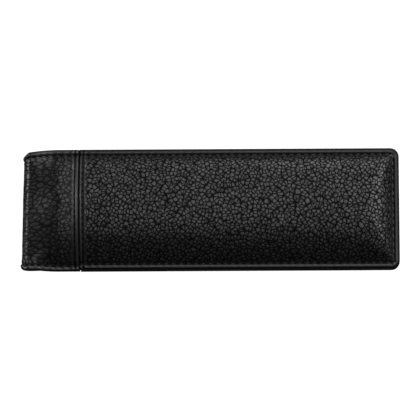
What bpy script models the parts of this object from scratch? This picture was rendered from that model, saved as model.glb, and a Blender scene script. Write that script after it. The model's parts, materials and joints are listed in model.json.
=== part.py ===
"""Leather flap case for two fountain pens: a moulded pouch whose flap folds round its open end.

Metres, +Z up. The case lies on its flap with the plain back face up. +X runs from the open end to the
closed end, +Y across the pens, and the origin is under the middle of the case, on the plane that the flap's
tongue rests on. A sheet is described by its outer face, and every layer under it is that face set back by the
layer's depth.
"""

import math

import bmesh
import bpy
from mathutils import Matrix, Vector

# Overall
CASE_LENGTH = 0.165
CASE_WIDTH = 0.053
PEN_ROOM = 0.014  # clear height between the two linings

# Materials
LEATHER = 0.0010
BOARD = 0.0008
LINING = 0.0004
STAY_TAPE = 0.0005
GAP = 0.0003  # between pieces that touch on the real case

# Moulded panels
MARGIN = 0.0032  # flat sewn border
SIDE_SHOULDER = 0.0102  # from the margin to the flat crown, along the sides
END_SHOULDER = 0.0082  # and at the closed end
CORNER_RADIUS = 0.0038
CROWN_RADIUS = 0.0070
LINING_INSET = 0.0040  # the linings stop here, just inside the seam

# Stitching
THREAD_RADIUS = 0.0002
THREAD_DEPTH = 0.0002  # of a thread's centre below the leather
STITCH_INSET = 0.0022
ROW_OFFSET = 0.0017  # of each row from the cross seam
THREAD_END_GAP = 0.0008

# Along the case, all from the open end
FIRST_BEND = 0.0158
CROSS_SEAM = 0.0247
MOUTH = 0.0205
STAY_HALF_WIDTH = 0.0040

# Flap
BEND_ANGLES = (20, 35, 35, 35, 35, 20)  # degrees, from the back face round to the front
END_WALL = 0.0070  # straight part of the flap over the open end
FLAP_SETBACK = 0.0015  # of the flap's edges from the pouch's
NECK_SETBACK = 0.0008  # and where the first fold ends
TONGUE_LENGTH = 0.0380
TONGUE_RADIUS = 0.0080
TURNED_EDGE = 0.0045  # width of the leather folded in round the tongue

# Mouth band, a leather strip folded over the edge of the front panel
BAND_WIDTH = 0.0050
BAND_WALL = 0.0010

# Closure and divider
MAGNET_RADIUS = 0.0040
MAGNET_SPACING = 0.0120
MAGNET_FROM_TIP = 0.0100
MAGNET_CLEARANCE = 0.0003
BOARD_CLEARANCE = 0.0005
BOARD_RADIUS = 0.0030
DIVIDER_THICKNESS = 0.0012
DIVIDER_FROM_MOUTH = 0.0015
DIVIDER_EDGE = 0.0003

# Resolution
SHOULDER_STEPS = 6
CORNER_STEPS = 5
FOLD_STEPS = 4
THREAD_SIDES = 2  # bevel_resolution, which gives 8 sides
WELD = 1e-6
STUB = 0.002  # what a fold's sheet runs on past its bends, before it is cut at them

WALL = LEATHER + GAP + BOARD + GAP + LINING
BOARD_DEPTH = LEATHER + GAP
LINING_DEPTH = BOARD_DEPTH + BOARD + GAP
SEAM_HALF = LEATHER + GAP / 2
POUCH_HALF = PEN_ROOM / 2 + WALL
DOME_RISE = POUCH_HALF - SEAM_HALF
TONGUE_STACK = WALL + GAP
SEAM_LEVEL = TONGUE_STACK + POUCH_HALF
BACK_LEVEL = SEAM_LEVEL + POUCH_HALF
FRONT_LEVEL = SEAM_LEVEL - POUCH_HALF
OPEN_END = -CASE_LENGTH / 2
CLOSED_END = CASE_LENGTH / 2
HALF_WIDTH = CASE_WIDTH / 2
BEND_X = OPEN_END + FIRST_BEND
SEAM_X = OPEN_END + CROSS_SEAM
MOUTH_X = OPEN_END + MOUTH
CROWN_INSET = MARGIN + SIDE_SHOULDER
CROWN_END = CLOSED_END - MARGIN - END_SHOULDER
FLAP_HALF_WIDTH = HALF_WIDTH - FLAP_SETBACK
GROOVE_RADIUS = THREAD_RADIUS + GAP
ACROSS = Vector((0, 1, 0))

LEATHER_FINISH = ("black_grained_leather", (0.012, 0.012, 0.013), 0.5, 0.0)
LINING_FINISH = ("black_lining", (0.02, 0.02, 0.022), 0.85, 0.0)
BOARD_FINISH = ("grey_board", (0.25, 0.23, 0.2), 0.9, 0.0)
TAPE_FINISH = ("stay_tape", (0.1, 0.1, 0.1), 0.8, 0.0)
THREAD_FINISH = ("black_thread", (0.008, 0.008, 0.009), 0.6, 0.0)
MAGNET_FINISH = ("nickel_magnet", (0.6, 0.58, 0.55), 0.3, 1.0)


# Scene and object helpers


def clear_scene():
    for obj in list(bpy.data.objects):
        bpy.data.objects.remove(obj)


def new_collection(name):
    collection = bpy.data.collections.new(name)
    bpy.context.scene.collection.children.link(collection)
    return collection


def material(name, colour, roughness, metallic):
    made = bpy.data.materials.get(name)
    if made is None:
        made = bpy.data.materials.new(name)
        made.use_nodes = True
        shader = made.node_tree.nodes["Principled BSDF"]
        shader.inputs["Base Color"].default_value = (*colour, 1)
        shader.inputs["Roughness"].default_value = roughness
        shader.inputs["Metallic"].default_value = metallic
        made.diffuse_color = (*colour, 1)
    return made


def add_object(name, data, finish):
    data.materials.clear()
    data.materials.append(material(*finish))
    obj = bpy.data.objects.new(name, data)
    CASE.objects.link(obj)
    return obj


def as_cutter(obj):
    """Moves an object among the cutters, which no render shows."""
    CASE.objects.unlink(obj)
    CUTTERS.objects.link(obj)
    obj.hide_render = True
    obj.display_type = "WIRE"
    return obj


def evaluated_mesh(obj):
    bpy.context.view_layer.update()
    graph = bpy.context.evaluated_depsgraph_get()
    return bpy.data.meshes.new_from_object(obj.evaluated_get(graph))


def bake(obj):
    """Replaces an object's mesh by what its modifiers make of it."""
    mesh = evaluated_mesh(obj)
    obj.modifiers.clear()
    obj.data = mesh
    return obj


def boolean(obj, cutter, operation="DIFFERENCE"):
    """Cuts an object by a cutter, or joins them, and welds what the operation leaves on one spot."""
    modifier = obj.modifiers.new(operation.title(), "BOOLEAN")
    modifier.object = cutter
    modifier.operation = operation
    modifier.solver = "EXACT"
    bake(obj)
    mesh = bmesh.new()
    mesh.from_mesh(obj.data)
    bmesh.ops.dissolve_degenerate(mesh, edges=mesh.edges, dist=WELD)
    bmesh.ops.remove_doubles(mesh, verts=mesh.verts, dist=WELD)
    mesh.to_mesh(obj.data)
    mesh.free()


def attach(obj, hinge):
    """Hangs an object on a hinge's empty and leaves it where it is."""
    obj.parent = hinge
    obj.matrix_parent_inverse = hinge.matrix_world.inverted()


# Sheets and layers


def shaped_grid(name, columns, rows, place, outward, finish):
    """Half a sheet, y >= 0, mirrored across the case. Its grid's points go where place(column, row) says."""
    mesh = bmesh.new()
    bmesh.ops.create_grid(mesh, x_segments=columns - 1, y_segments=rows - 1, size=1)
    for vertex in mesh.verts:
        column = round((vertex.co.x + 1) / 2 * (columns - 1))
        row = round((vertex.co.y + 1) / 2 * (rows - 1))
        vertex.co = place(column, row)
    bmesh.ops.remove_doubles(mesh, verts=mesh.verts, dist=WELD)
    mesh.normal_update()
    if sum(face.calc_area() * face.normal.dot(outward) for face in mesh.faces) < 0:
        bmesh.ops.reverse_faces(mesh, faces=mesh.faces)
    data = bpy.data.meshes.new(name)
    mesh.to_mesh(data)
    mesh.free()
    obj = add_object(name, data, finish)
    mirror = obj.modifiers.new("Mirror", "MIRROR")
    mirror.use_axis = (False, True, False)
    mirror.merge_threshold = 1e-5
    return obj


def thicken(obj, depth, thickness):
    """A layer of that thickness, its outer face set back by depth from the sheet."""
    solidify = obj.modifiers.new("Thickness", "SOLIDIFY")
    solidify.thickness = thickness
    solidify.offset = -1 - 2 * depth / thickness
    solidify.use_even_offset = True
    solidify.use_quality_normals = True
    return obj


def dome_stations(first_inset=0.0):
    """The lines from a panel's edge to its middle, as (side inset, end inset, share of rise, corner radius).

    The margin is flat, the shoulder rises as a quarter sine wave and the crown is flat."""
    stations = [(inset, inset, 0.0, CORNER_RADIUS - inset) for inset in (0.0, MARGIN)]
    stations += [shoulder_station(step / SHOULDER_STEPS) for step in range(1, SHOULDER_STEPS + 1)]
    stations.append((HALF_WIDTH, END_SHOULDER + HALF_WIDTH - SIDE_SHOULDER, 1.0, 0.0))
    if first_inset == 0.0:
        return stations
    first = shoulder_station((first_inset - MARGIN) / SIDE_SHOULDER)
    return [first] + [station for station in stations if station[0] > first_inset + GAP]


def shoulder_station(share):
    """The line at that share of the shoulder's width."""
    radius = CORNER_RADIUS - MARGIN + share * (CROWN_RADIUS - CORNER_RADIUS + MARGIN)
    rise = math.sin(share * math.pi / 2)
    return (MARGIN + share * SIDE_SHOULDER, MARGIN + share * END_SHOULDER, rise, radius)


def edge_line(open_x, closed_x, half_width, side_inset, end_inset, radius):
    """Half of a line round a panel, set in from its edge: along the side and round to the middle of its end."""
    corner = Vector((closed_x - end_inset - radius, half_width - side_inset - radius, 0))
    line = [Vector((open_x, half_width - side_inset, 0))]
    for step in range(CORNER_STEPS + 1):
        angle = math.pi / 2 * (1 - step / CORNER_STEPS)
        line.append(corner + Vector((math.cos(angle), math.sin(angle), 0)) * radius)
    line.append(Vector((closed_x - end_inset, 0, 0)))
    return line


def moulded_layer(name, side, open_x, depth, thickness, finish, first_inset=0.0):
    """A layer of the pouch's back (side 1) or front (side -1), from open_x to the closed end."""
    stations = dome_stations(first_inset)
    lines = [edge_line(open_x, CLOSED_END, HALF_WIDTH, *station[:2], station[3]) for station in stations]

    def place(column, row):
        point = lines[row][column]
        height = SEAM_LEVEL + side * (SEAM_HALF + stations[row][2] * DOME_RISE)
        return Vector((point.x, point.y, height))

    sheet = shaped_grid(name, len(lines[0]), len(stations), place, Vector((0, 0, side)), finish)
    return thicken(sheet, depth, thickness)


def cross_strip(name, side, stations, depth, thickness, finish, first_inset=0.0):
    """A layer of a strip across the case, whose dome stands up (side 1) or down (side -1).

    Each of its stations is (x, z of the crown, half width, share of the dome kept), listed the way the flap
    runs: towards -X over the back, down the open end and towards +X under the front."""
    section = dome_stations(first_inset)

    def place(column, row):
        x, crown, half_width, kept = stations[column]
        inset, _, share, _ = section[row]
        reach = half_width if row == len(section) - 1 else inset
        return Vector((x, half_width - reach, crown - side * (1 - share) * kept * DOME_RISE))

    first, last = stations[0], stations[-1]
    along = Vector((last[0] - first[0], 0, last[1] - first[1]))
    sheet = shaped_grid(name, len(stations), len(section), place, ACROSS.cross(along), finish)
    return thicken(sheet, depth, thickness)


def plate(name, outline, level, thickness, finish):
    """A flat piece with that outline in the XY plane, from level up."""
    mesh = bmesh.new()
    mesh.faces.new([mesh.verts.new((x, y, level)) for x, y in outline])
    mesh.normal_update()
    for face in mesh.faces:
        if face.normal.z < 0:
            face.normal_flip()
    data = bpy.data.meshes.new(name)
    mesh.to_mesh(data)
    mesh.free()
    obj = add_object(name, data, finish)
    solidify = obj.modifiers.new("Thickness", "SOLIDIFY")
    solidify.thickness = thickness
    solidify.offset = 1
    return obj


def rounded_outline(left, right, half_width, left_radius, right_radius):
    """The corners of a rectangle with round ends, in order."""
    outline = []
    for x, y, radius, start in (
        (right, half_width, right_radius, 90),
        (right, -half_width, right_radius, 0),
        (left, -half_width, left_radius, -90),
        (left, half_width, left_radius, -180),
    ):
        centre_x = x - math.copysign(radius, x - (left + right) / 2)
        centre_y = y - math.copysign(radius, y)
        for step in range(CORNER_STEPS + 1 if radius else 1):
            angle = math.radians(start - 90 * step / CORNER_STEPS)
            outline.append((centre_x + radius * math.cos(angle), centre_y + radius * math.sin(angle)))
    return outline


def disc(name, centre, radius, thickness, finish, segments=24):
    mesh = bmesh.new()
    bmesh.ops.create_cone(
        mesh, cap_ends=True, segments=segments, radius1=radius, radius2=radius, depth=thickness
    )
    data = bpy.data.meshes.new(name)
    mesh.to_mesh(data)
    mesh.free()
    obj = add_object(name, data, finish)
    obj.location = centre
    return obj


# Threads and their grooves


def tube(name, points, radius, finish):
    curve = bpy.data.curves.new(name, "CURVE")
    curve.dimensions = "3D"
    curve.bevel_depth = radius
    curve.bevel_resolution = THREAD_SIDES
    curve.use_fill_caps = True
    spline = curve.splines.new("POLY")
    spline.points.add(len(points) - 1)
    for target, point in zip(spline.points, points):
        target.co = (*point, 1)
    return add_object(name, curve, finish)


def groove_cutter(name, points, run_on=STUB):
    """A tube as a welded mesh, which runs on past both ends of its line so that it cuts right through."""
    curve = tube(name + "_curve", shortened(points, -run_on), GROOVE_RADIUS, THREAD_FINISH)
    data = evaluated_mesh(curve)
    bpy.data.objects.remove(curve)
    mesh = bmesh.new()
    mesh.from_mesh(data)
    bmesh.ops.remove_doubles(mesh, verts=mesh.verts, dist=WELD)
    bmesh.ops.recalc_face_normals(mesh, faces=mesh.faces)
    mesh.to_mesh(data)
    mesh.free()
    return as_cutter(add_object(name, data, THREAD_FINISH))


def shortened(points, length):
    """A line with that length taken off each of its ends."""
    first = points[0] + (points[1] - points[0]).normalized() * length
    last = points[-1] + (points[-2] - points[-1]).normalized() * length
    return [first, *points[1:-1], last]


def both_halves(half):
    """A line from one open end round to the other, from its half with y >= 0."""
    return half + [Vector((p.x, -p.y, p.z)) for p in reversed(half[:-1])]


def pouch_edge_line(side, open_x):
    """The stitch line round three sides of the pouch's back or front."""
    inset = STITCH_INSET
    half = edge_line(open_x, CLOSED_END, HALF_WIDTH, inset, inset, CORNER_RADIUS - inset)
    height = SEAM_LEVEL + side * (SEAM_HALF - THREAD_DEPTH)
    return both_halves([Vector((p.x, p.y, height)) for p in half])


def seam_row_line(x):
    """A stitch line across the back, over both shoulders, from the edge's stitch line to the other edge's."""
    half = [Vector((x, HALF_WIDTH - STITCH_INSET, SEAM_LEVEL + SEAM_HALF))]
    for inset, _, share, _ in dome_stations()[1:]:
        half.append(Vector((x, HALF_WIDTH - inset, SEAM_LEVEL + SEAM_HALF + share * DOME_RISE)))
    return set_back(both_halves(half), THREAD_DEPTH)


def set_back(points, depth):
    """A line across the back moved down into the leather, square to itself."""
    moved = []
    for index, point in enumerate(points):
        before, after = points[max(index - 1, 0)], points[min(index + 1, len(points) - 1)]
        along = (after - before).normalized()
        moved.append(point + Vector((1, 0, 0)).cross(along).normalized() * depth)
    return moved


# The flap's path


def headings():
    """The flap's direction before and after each bend, in degrees turned from -X downwards."""
    angles = [0]
    for bend in BEND_ANGLES:
        angles.append(angles[-1] + bend)
    return angles


def direction(heading):
    angle = math.radians(heading)
    return Vector((-math.cos(angle), 0, -math.sin(angle)))


def bend_points():
    """The flap's bends on its outer face, in the XZ plane, from the back round to the front.

    The two folds above the end wall have the lengths that reach the open end and the wall's top. The two
    below it mirror them."""
    first, second = (math.radians(heading) for heading in headings()[1:3])
    drop = (BACK_LEVEL - END_WALL) / 2
    turn = math.sin(second - first)
    upper = (FIRST_BEND * math.sin(second) - drop * math.cos(second)) / turn
    lower = (drop * math.cos(first) - FIRST_BEND * math.sin(first)) / turn
    points = [Vector((BEND_X, 0, BACK_LEVEL))]
    for heading, length in zip(headings()[1:], (upper, lower, END_WALL, lower, upper)):
        points.append(points[-1] + direction(heading) * length)
    return points


def bend_widths():
    """The flap's half width at each bend."""
    return [HALF_WIDTH, HALF_WIDTH - NECK_SETBACK] + [FLAP_HALF_WIDTH] * (len(BEND_ANGLES) - 2)


def fold_stations(fold):
    """The stations of a fold's sheet, which runs on past its bends. Fold 0 is the part sewn to the back."""
    points, widths, headed = bend_points(), bend_widths(), headings()
    if fold == 0:
        seam = (SEAM_X - GAP / 2, BACK_LEVEL, HALF_WIDTH, 1.0)
        return [seam, (BEND_X, BACK_LEVEL, HALF_WIDTH, 1.0), stub_station(0, 1)]
    start, end = points[fold - 1], points[fold]
    steps = FOLD_STEPS if fold == 1 else 1
    stations = [stub_station(fold - 1, -1)]
    for step in range(steps + 1):
        share = step / steps
        point = start.lerp(end, share)
        width = widths[fold - 1] + (widths[fold] - widths[fold - 1]) * share
        stations.append((point.x, point.z, width, dome_kept(share) if fold == 1 else 0.0))
    stations.append(stub_station(fold, 1))
    return stations


def dome_kept(share):
    """How much of the pouch's dome the first fold still has, from all at its bend to none at its end."""
    return math.cos(share * math.pi / 2) ** 2


def stub_station(bend, way):
    """The station just before (way -1) or after (way 1) a bend, along the fold there."""
    heading = headings()[bend + (1 if way > 0 else 0)]
    point = bend_points()[bend] + direction(heading) * STUB * way
    kept = 1.0 if bend == 0 else 0.0
    return (point.x, point.z, bend_widths()[bend], kept)


def bend_plane(bend):
    """A point and the normal of the plane that halves a bend; the normal points on along the flap."""
    before, after = headings()[bend : bend + 2]
    return bend_points()[bend], (direction(before) + direction(after)).normalized()


def cut_at_bends(obj, first, last):
    """Bakes a piece and cuts it off at its bends, half the gap inside each plane. None leaves an end as it is."""
    bake(obj)
    mesh = bmesh.new()
    mesh.from_mesh(obj.data)
    for bend, keep in ((first, 1), (last, -1)):
        if bend is None:
            continue
        point, normal = bend_plane(bend)
        cut = bmesh.ops.bisect_plane(
            mesh,
            geom=[*mesh.verts, *mesh.edges, *mesh.faces],
            dist=1e-7,
            plane_co=point + normal * keep * GAP / 2,
            plane_no=normal * keep,
            clear_inner=True,
        )
        edges = [item for item in cut["geom_cut"] if isinstance(item, bmesh.types.BMEdge)]
        bmesh.ops.holes_fill(mesh, edges=edges)
    bmesh.ops.recalc_face_normals(mesh, faces=mesh.faces)
    mesh.to_mesh(obj.data)
    mesh.free()
    return obj


def fold_edge_line(fold):
    """The stitch line along a fold's +Y edge, between the planes of its bends, set into the leather."""
    stations = fold_stations(fold)
    crown = [Vector((x, width - STITCH_INSET, z - kept * DOME_RISE)) for x, z, width, kept in stations]
    line = []
    for index in range(1, len(crown) - 1):
        before = (crown[index] - crown[index - 1]).normalized()
        after = (crown[index + 1] - crown[index]).normalized()
        outward = ACROSS.cross(before + after).normalized()
        square = outward.dot(ACROSS.cross(after).normalized())
        line.append(crown[index] - outward * THREAD_DEPTH / square)
    return line


def mirrored(points):
    return [Vector((p.x, -p.y, p.z)) for p in points]


# Pieces of the pouch


def pouch_shells():
    """The two outer panels with the groove of their edge stitching, and that stitching."""
    band_end = MOUTH_X + BAND_WIDTH + GAP
    for name, side, open_x, thread_start in (
        ("back", 1, SEAM_X + GAP / 2, BEND_X),
        ("front", -1, band_end, band_end),
    ):
        panel = moulded_layer(f"{name}_panel", side, open_x, 0, LEATHER, LEATHER_FINISH)
        line = pouch_edge_line(side, thread_start)
        boolean(panel, groove_cutter(f"{name}_edge_groove", line))
        tube(f"{name}_edge_thread", shortened(line, THREAD_END_GAP), THREAD_RADIUS, THREAD_FINISH)


def cross_seam():
    """The two rows of stitches beside the seam of the flap and the back panel, and the tape under it."""
    rows = (("flap_side", "flap_base", SEAM_X - ROW_OFFSET), ("panel_side", "back_panel", SEAM_X + ROW_OFFSET))
    for name, leather, x in rows:
        line = seam_row_line(x)
        boolean(bpy.data.objects[leather], groove_cutter(f"{name}_groove", line, 0))
        tube(f"seam_thread_{name}", shortened(line, THREAD_END_GAP), THREAD_RADIUS, THREAD_FINISH)
    ends = (SEAM_X + STAY_HALF_WIDTH, SEAM_X - STAY_HALF_WIDTH)
    stations = [(x, BACK_LEVEL, HALF_WIDTH, 1.0) for x in ends]
    cross_strip("seam_stay_tape", 1, stations, BOARD_DEPTH, STAY_TAPE, TAPE_FINISH, LINING_INSET)


def pouch_linings():
    back_start = BEND_X + STUB
    front_start = MOUTH_X + BAND_WIDTH + GAP
    for name, side, open_x in (("back_lining", 1, back_start), ("front_lining", -1, front_start)):
        moulded_layer(name, side, open_x, LINING_DEPTH, LINING, LINING_FINISH, LINING_INSET)


def pouch_boards():
    """The stiffening boards under the flat crowns; the front one has two holes for the magnets."""
    half_width = HALF_WIDTH - CROWN_INSET - BOARD_CLEARANCE
    right = CROWN_END - BOARD_CLEARANCE
    for name, left, level in (
        ("back_board", SEAM_X + STAY_HALF_WIDTH + GAP, BACK_LEVEL - BOARD_DEPTH - BOARD),
        ("front_board", MOUTH_X + BAND_WALL + GAP, FRONT_LEVEL + BOARD_DEPTH),
    ):
        outline = rounded_outline(left, right, half_width, BOARD_RADIUS, BOARD_RADIUS)
        plate(name, outline, level, BOARD, BOARD_FINISH)
    return bpy.data.objects["front_board"]


def mouth_band():
    """A leather strip folded over the front panel's edge, with a hollow between its legs for the board."""
    station = (FRONT_LEVEL, HALF_WIDTH, 1.0)
    outer = [(x, *station) for x in (MOUTH_X, MOUTH_X + BAND_WIDTH)]
    hollow = [(x, *station) for x in (MOUTH_X + BAND_WALL, MOUTH_X + BAND_WIDTH + STUB)]
    root = LEATHER - GAP
    room = GAP + BOARD + GAP
    band = cross_strip("mouth_band", -1, outer, 0, LEATHER, LEATHER_FINISH)
    inner = cross_strip("band_inner", -1, outer, root, WALL - root, LEATHER_FINISH, LINING_INSET)
    gap = cross_strip("band_hollow", -1, hollow, LEATHER, room, LEATHER_FINISH, LINING_INSET - 2 * GAP)
    boolean(band, as_cutter(inner), "UNION")
    boolean(band, as_cutter(gap))


def pen_divider():
    """The partition between the two pens, from lining to lining."""
    left, right = MOUTH_X + DIVIDER_FROM_MOUTH, CROWN_END - GAP
    mesh = bmesh.new()
    size = (right - left, DIVIDER_THICKNESS, PEN_ROOM - 2 * GAP)
    bmesh.ops.create_cube(mesh, size=1, matrix=Matrix.Diagonal((*size, 1)))
    data = bpy.data.meshes.new("pen_divider")
    mesh.to_mesh(data)
    mesh.free()
    obj = add_object("pen_divider", data, LINING_FINISH)
    obj.location = ((left + right) / 2, 0, SEAM_LEVEL)
    bevel = obj.modifiers.new("Edges", "BEVEL")
    bevel.width = DIVIDER_EDGE
    bevel.segments = 2


def magnets(prefix, level, board):
    """Two disc magnets on one level in a board, and their holes in it."""
    x = bend_points()[-1].x + TONGUE_LENGTH - MAGNET_FROM_TIP
    made = []
    for name, y in (("left", -MAGNET_SPACING / 2), ("right", MAGNET_SPACING / 2)):
        centre = Vector((x, y, level + BOARD / 2))
        hole = disc(f"{prefix}_hole_{name}", centre, MAGNET_RADIUS + MAGNET_CLEARANCE, 3 * BOARD, BOARD_FINISH)
        boolean(board, as_cutter(hole))
        made.append(disc(f"{prefix}_magnet_{name}", centre, MAGNET_RADIUS, BOARD, MAGNET_FINISH))
    return made


# Pieces of the flap


def flap_base():
    """The part of the flap that is sewn to the back, from the cross seam to the first bend."""
    base = cross_strip("flap_base", 1, fold_stations(0), 0, LEATHER, LEATHER_FINISH)
    boolean(base, bpy.data.objects["back_edge_groove"])
    cut_at_bends(base, None, 0)


def flap_folds(hinges):
    """The folds between the bends: leather, lining and a thread along each edge."""
    for fold in range(1, len(BEND_ANGLES)):
        stations = fold_stations(fold)
        leather = cross_strip(f"flap_fold_{fold}", 1, stations, 0, LEATHER, LEATHER_FINISH)
        layer = (BOARD_DEPTH, LINING, LINING_FINISH, LINING_INSET)
        lining = cross_strip(f"flap_lining_{fold}", 1, stations, *layer)
        line = fold_edge_line(fold)
        pieces = [leather, lining]
        for name, points in (("right", line), ("left", mirrored(line))):
            boolean(leather, groove_cutter(f"fold_{fold}_groove_{name}", points))
            cut_line = shortened(points, THREAD_END_GAP)
            pieces.append(tube(f"flap_thread_{fold}_{name}", cut_line, THREAD_RADIUS, THREAD_FINISH))
        cut_at_bends(leather, fold - 1, fold)
        cut_at_bends(lining, fold - 1, fold)
        for piece in pieces:
            attach(piece, hinges[fold - 1])


def flap_tongue(hinge):
    """The flat end of the flap on the front: leather with its edge turned in round a board and a lining."""
    last = len(BEND_ANGLES) - 1
    start = bend_points()[last].x
    tip = start + TONGUE_LENGTH
    outline = rounded_outline(start - STUB, tip, FLAP_HALF_WIDTH, 0, TONGUE_RADIUS)
    leather = plate("flap_tongue", outline, 0, WALL, LEATHER_FINISH)
    half = edge_line(start, tip, FLAP_HALF_WIDTH, STITCH_INSET, STITCH_INSET, TONGUE_RADIUS - STITCH_INSET)
    line = both_halves([Vector((p.x, p.y, THREAD_DEPTH)) for p in half])
    boolean(leather, groove_cutter("tongue_groove", line))
    boolean(leather, as_cutter(tongue_insert("tongue_pocket", 0, LEATHER, WALL, LEATHER_FINISH)))
    thread = tube("tongue_thread", shortened(line, THREAD_END_GAP), THREAD_RADIUS, THREAD_FINISH)
    cut_at_bends(leather, last, None)
    board = tongue_insert("tongue_board", GAP, BOARD_DEPTH, BOARD, BOARD_FINISH)
    lining = tongue_insert("tongue_lining", GAP, LINING_DEPTH, LINING, LINING_FINISH)
    for piece in (leather, lining, thread, board, *magnets("tongue", BOARD_DEPTH, board)):
        attach(piece, hinge)


def tongue_insert(name, clearance, level, thickness, finish):
    """A plate that fills the room inside the tongue's turned edge, less a clearance."""
    start = bend_points()[-1].x
    edge = TURNED_EDGE + clearance
    ends = (start + edge, start + TONGUE_LENGTH - edge)
    outline = rounded_outline(*ends, FLAP_HALF_WIDTH - edge, BOARD_RADIUS, TONGUE_RADIUS - edge)
    return plate(name, outline, level, thickness, finish)


def hinge_empties():
    """One empty on each bend's axis, each hung on the one before."""
    empties = []
    for number, point in enumerate(bend_points(), 1):
        empty = bpy.data.objects.new(f"bend_{number}_axis", None)
        CASE.objects.link(empty)
        empty.location = point
        bpy.context.view_layer.update()
        if empties:
            attach(empty, empties[-1])
        empties.append(empty)
    bpy.context.view_layer.update()
    return empties


def build():
    pouch_shells()
    flap_base()
    cross_seam()
    pouch_linings()
    front_board = pouch_boards()
    magnets("pouch", FRONT_LEVEL + BOARD_DEPTH, front_board)
    mouth_band()
    pen_divider()
    hinges = hinge_empties()
    flap_folds(hinges)
    flap_tongue(hinges[-1])
    bpy.context.view_layer.update()


clear_scene()
CASE = new_collection("fountain_pen_case")
CUTTERS = new_collection("cutters")
build()
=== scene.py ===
"""Fountain pen case in black pebble-grained leather, dressed over the frame of its CAD model.

Every new piece is a surface worked out in whole arrays. A face of the case is a function that gives a
point and the way it looks from two sizes, and each leather, lining and stitch is laid on one of those
faces at a depth under it. All lengths are in metres and all places are in the frame's axes: +X runs from
the open end to the closed end, +Y across the pens, and +Z out of the plain back.
"""

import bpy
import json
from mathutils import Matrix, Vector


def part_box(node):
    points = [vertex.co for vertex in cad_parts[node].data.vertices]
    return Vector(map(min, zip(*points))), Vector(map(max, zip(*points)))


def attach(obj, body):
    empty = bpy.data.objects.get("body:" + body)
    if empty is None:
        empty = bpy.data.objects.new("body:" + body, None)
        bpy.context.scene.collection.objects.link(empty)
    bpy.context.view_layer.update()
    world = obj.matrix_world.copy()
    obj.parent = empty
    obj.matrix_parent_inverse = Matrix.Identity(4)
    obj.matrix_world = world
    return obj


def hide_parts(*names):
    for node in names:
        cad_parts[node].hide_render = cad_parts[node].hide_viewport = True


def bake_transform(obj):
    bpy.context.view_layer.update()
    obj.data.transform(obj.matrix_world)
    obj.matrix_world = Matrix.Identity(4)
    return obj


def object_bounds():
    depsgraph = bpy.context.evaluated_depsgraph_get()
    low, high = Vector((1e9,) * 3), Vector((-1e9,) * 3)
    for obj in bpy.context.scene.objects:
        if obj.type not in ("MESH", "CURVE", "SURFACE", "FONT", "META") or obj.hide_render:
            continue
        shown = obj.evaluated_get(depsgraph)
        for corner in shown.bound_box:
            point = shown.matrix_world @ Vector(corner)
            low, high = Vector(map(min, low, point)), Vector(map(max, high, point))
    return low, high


bl_info = {
    "name": "Fountain Pen Case",
    "version": (1, 0, 0),
    "blender": (4, 5, 0),
    "location": "View3D > Sidebar > Pen Case",
    "description": "Leather flap case for fountain pens, with its stitching, linings and studio stage",
    "category": "Object",
}

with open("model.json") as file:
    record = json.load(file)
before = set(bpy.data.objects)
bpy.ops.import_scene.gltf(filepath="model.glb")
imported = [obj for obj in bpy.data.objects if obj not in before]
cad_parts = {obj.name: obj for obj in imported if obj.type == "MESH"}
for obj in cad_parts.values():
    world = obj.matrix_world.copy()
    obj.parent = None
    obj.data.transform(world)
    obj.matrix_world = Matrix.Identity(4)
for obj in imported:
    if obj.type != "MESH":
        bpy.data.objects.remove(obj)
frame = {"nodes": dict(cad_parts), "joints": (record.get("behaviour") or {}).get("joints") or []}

import json
import math
from functools import partial

import bmesh
import bpy
import numpy as np
from bpy.props import FloatProperty, FloatVectorProperty, PointerProperty
from mathutils import Quaternion, Vector

MM = 0.001
CLOTH = 0.00035  # thickness of the flap's lining
SLIVER = 0.00012  # between a lining or tape and what lies on it
WIDE_BEND, NARROW_BEND = 0.0024, 0.0012  # from a bend's middle to where its bending ends
SMALL_STEP = 2e-5  # over which slopes are measured
EDGE_HIGHLIGHT = (0.0012, 0.0006)  # middle and half width of the painted highlight along an edge's bead

# Places taken from the frame
BACK_LOW, BACK_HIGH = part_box("back_panel")
FRONT_LOW, FRONT_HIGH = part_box("front_panel")
BASE_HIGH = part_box("flap_base")[1]
BAND_LOW, BAND_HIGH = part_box("mouth_band")
TONGUE_LOW, TONGUE_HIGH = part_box("flap_tongue")
DIVIDER_LOW, DIVIDER_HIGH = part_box("pen_divider")
BOUNDS_OF_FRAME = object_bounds()
JOINTS = sorted(frame["joints"], key=lambda joint: joint["name"])
CLOSED_END = BACK_HIGH.x + 0.65 * MM
HALF_WIDTH = BACK_HIGH.y + 0.45 * MM
SEAM_X = (BACK_LOW.x + BASE_HIGH.x) / 2 + 0.5 * MM
SEAM_LEVEL = (BACK_LOW.z + FRONT_HIGH.z) / 2
HALF_THICKNESS = BACK_HIGH.z - SEAM_LEVEL
TONGUE_HALF_WIDTH = TONGUE_HIGH.y


# Sizes and colours


def size(name, description, default):
    return FloatProperty(name=name, description=description, default=default, unit="LENGTH", precision=5)


def share(name, description, default):
    return FloatProperty(name=name, description=description, default=default, subtype="FACTOR", min=0, max=1)


def colour(name, description, default):
    return FloatVectorProperty(
        name=name, description=description, default=default, subtype="COLOR", min=0, max=1
    )


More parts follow.
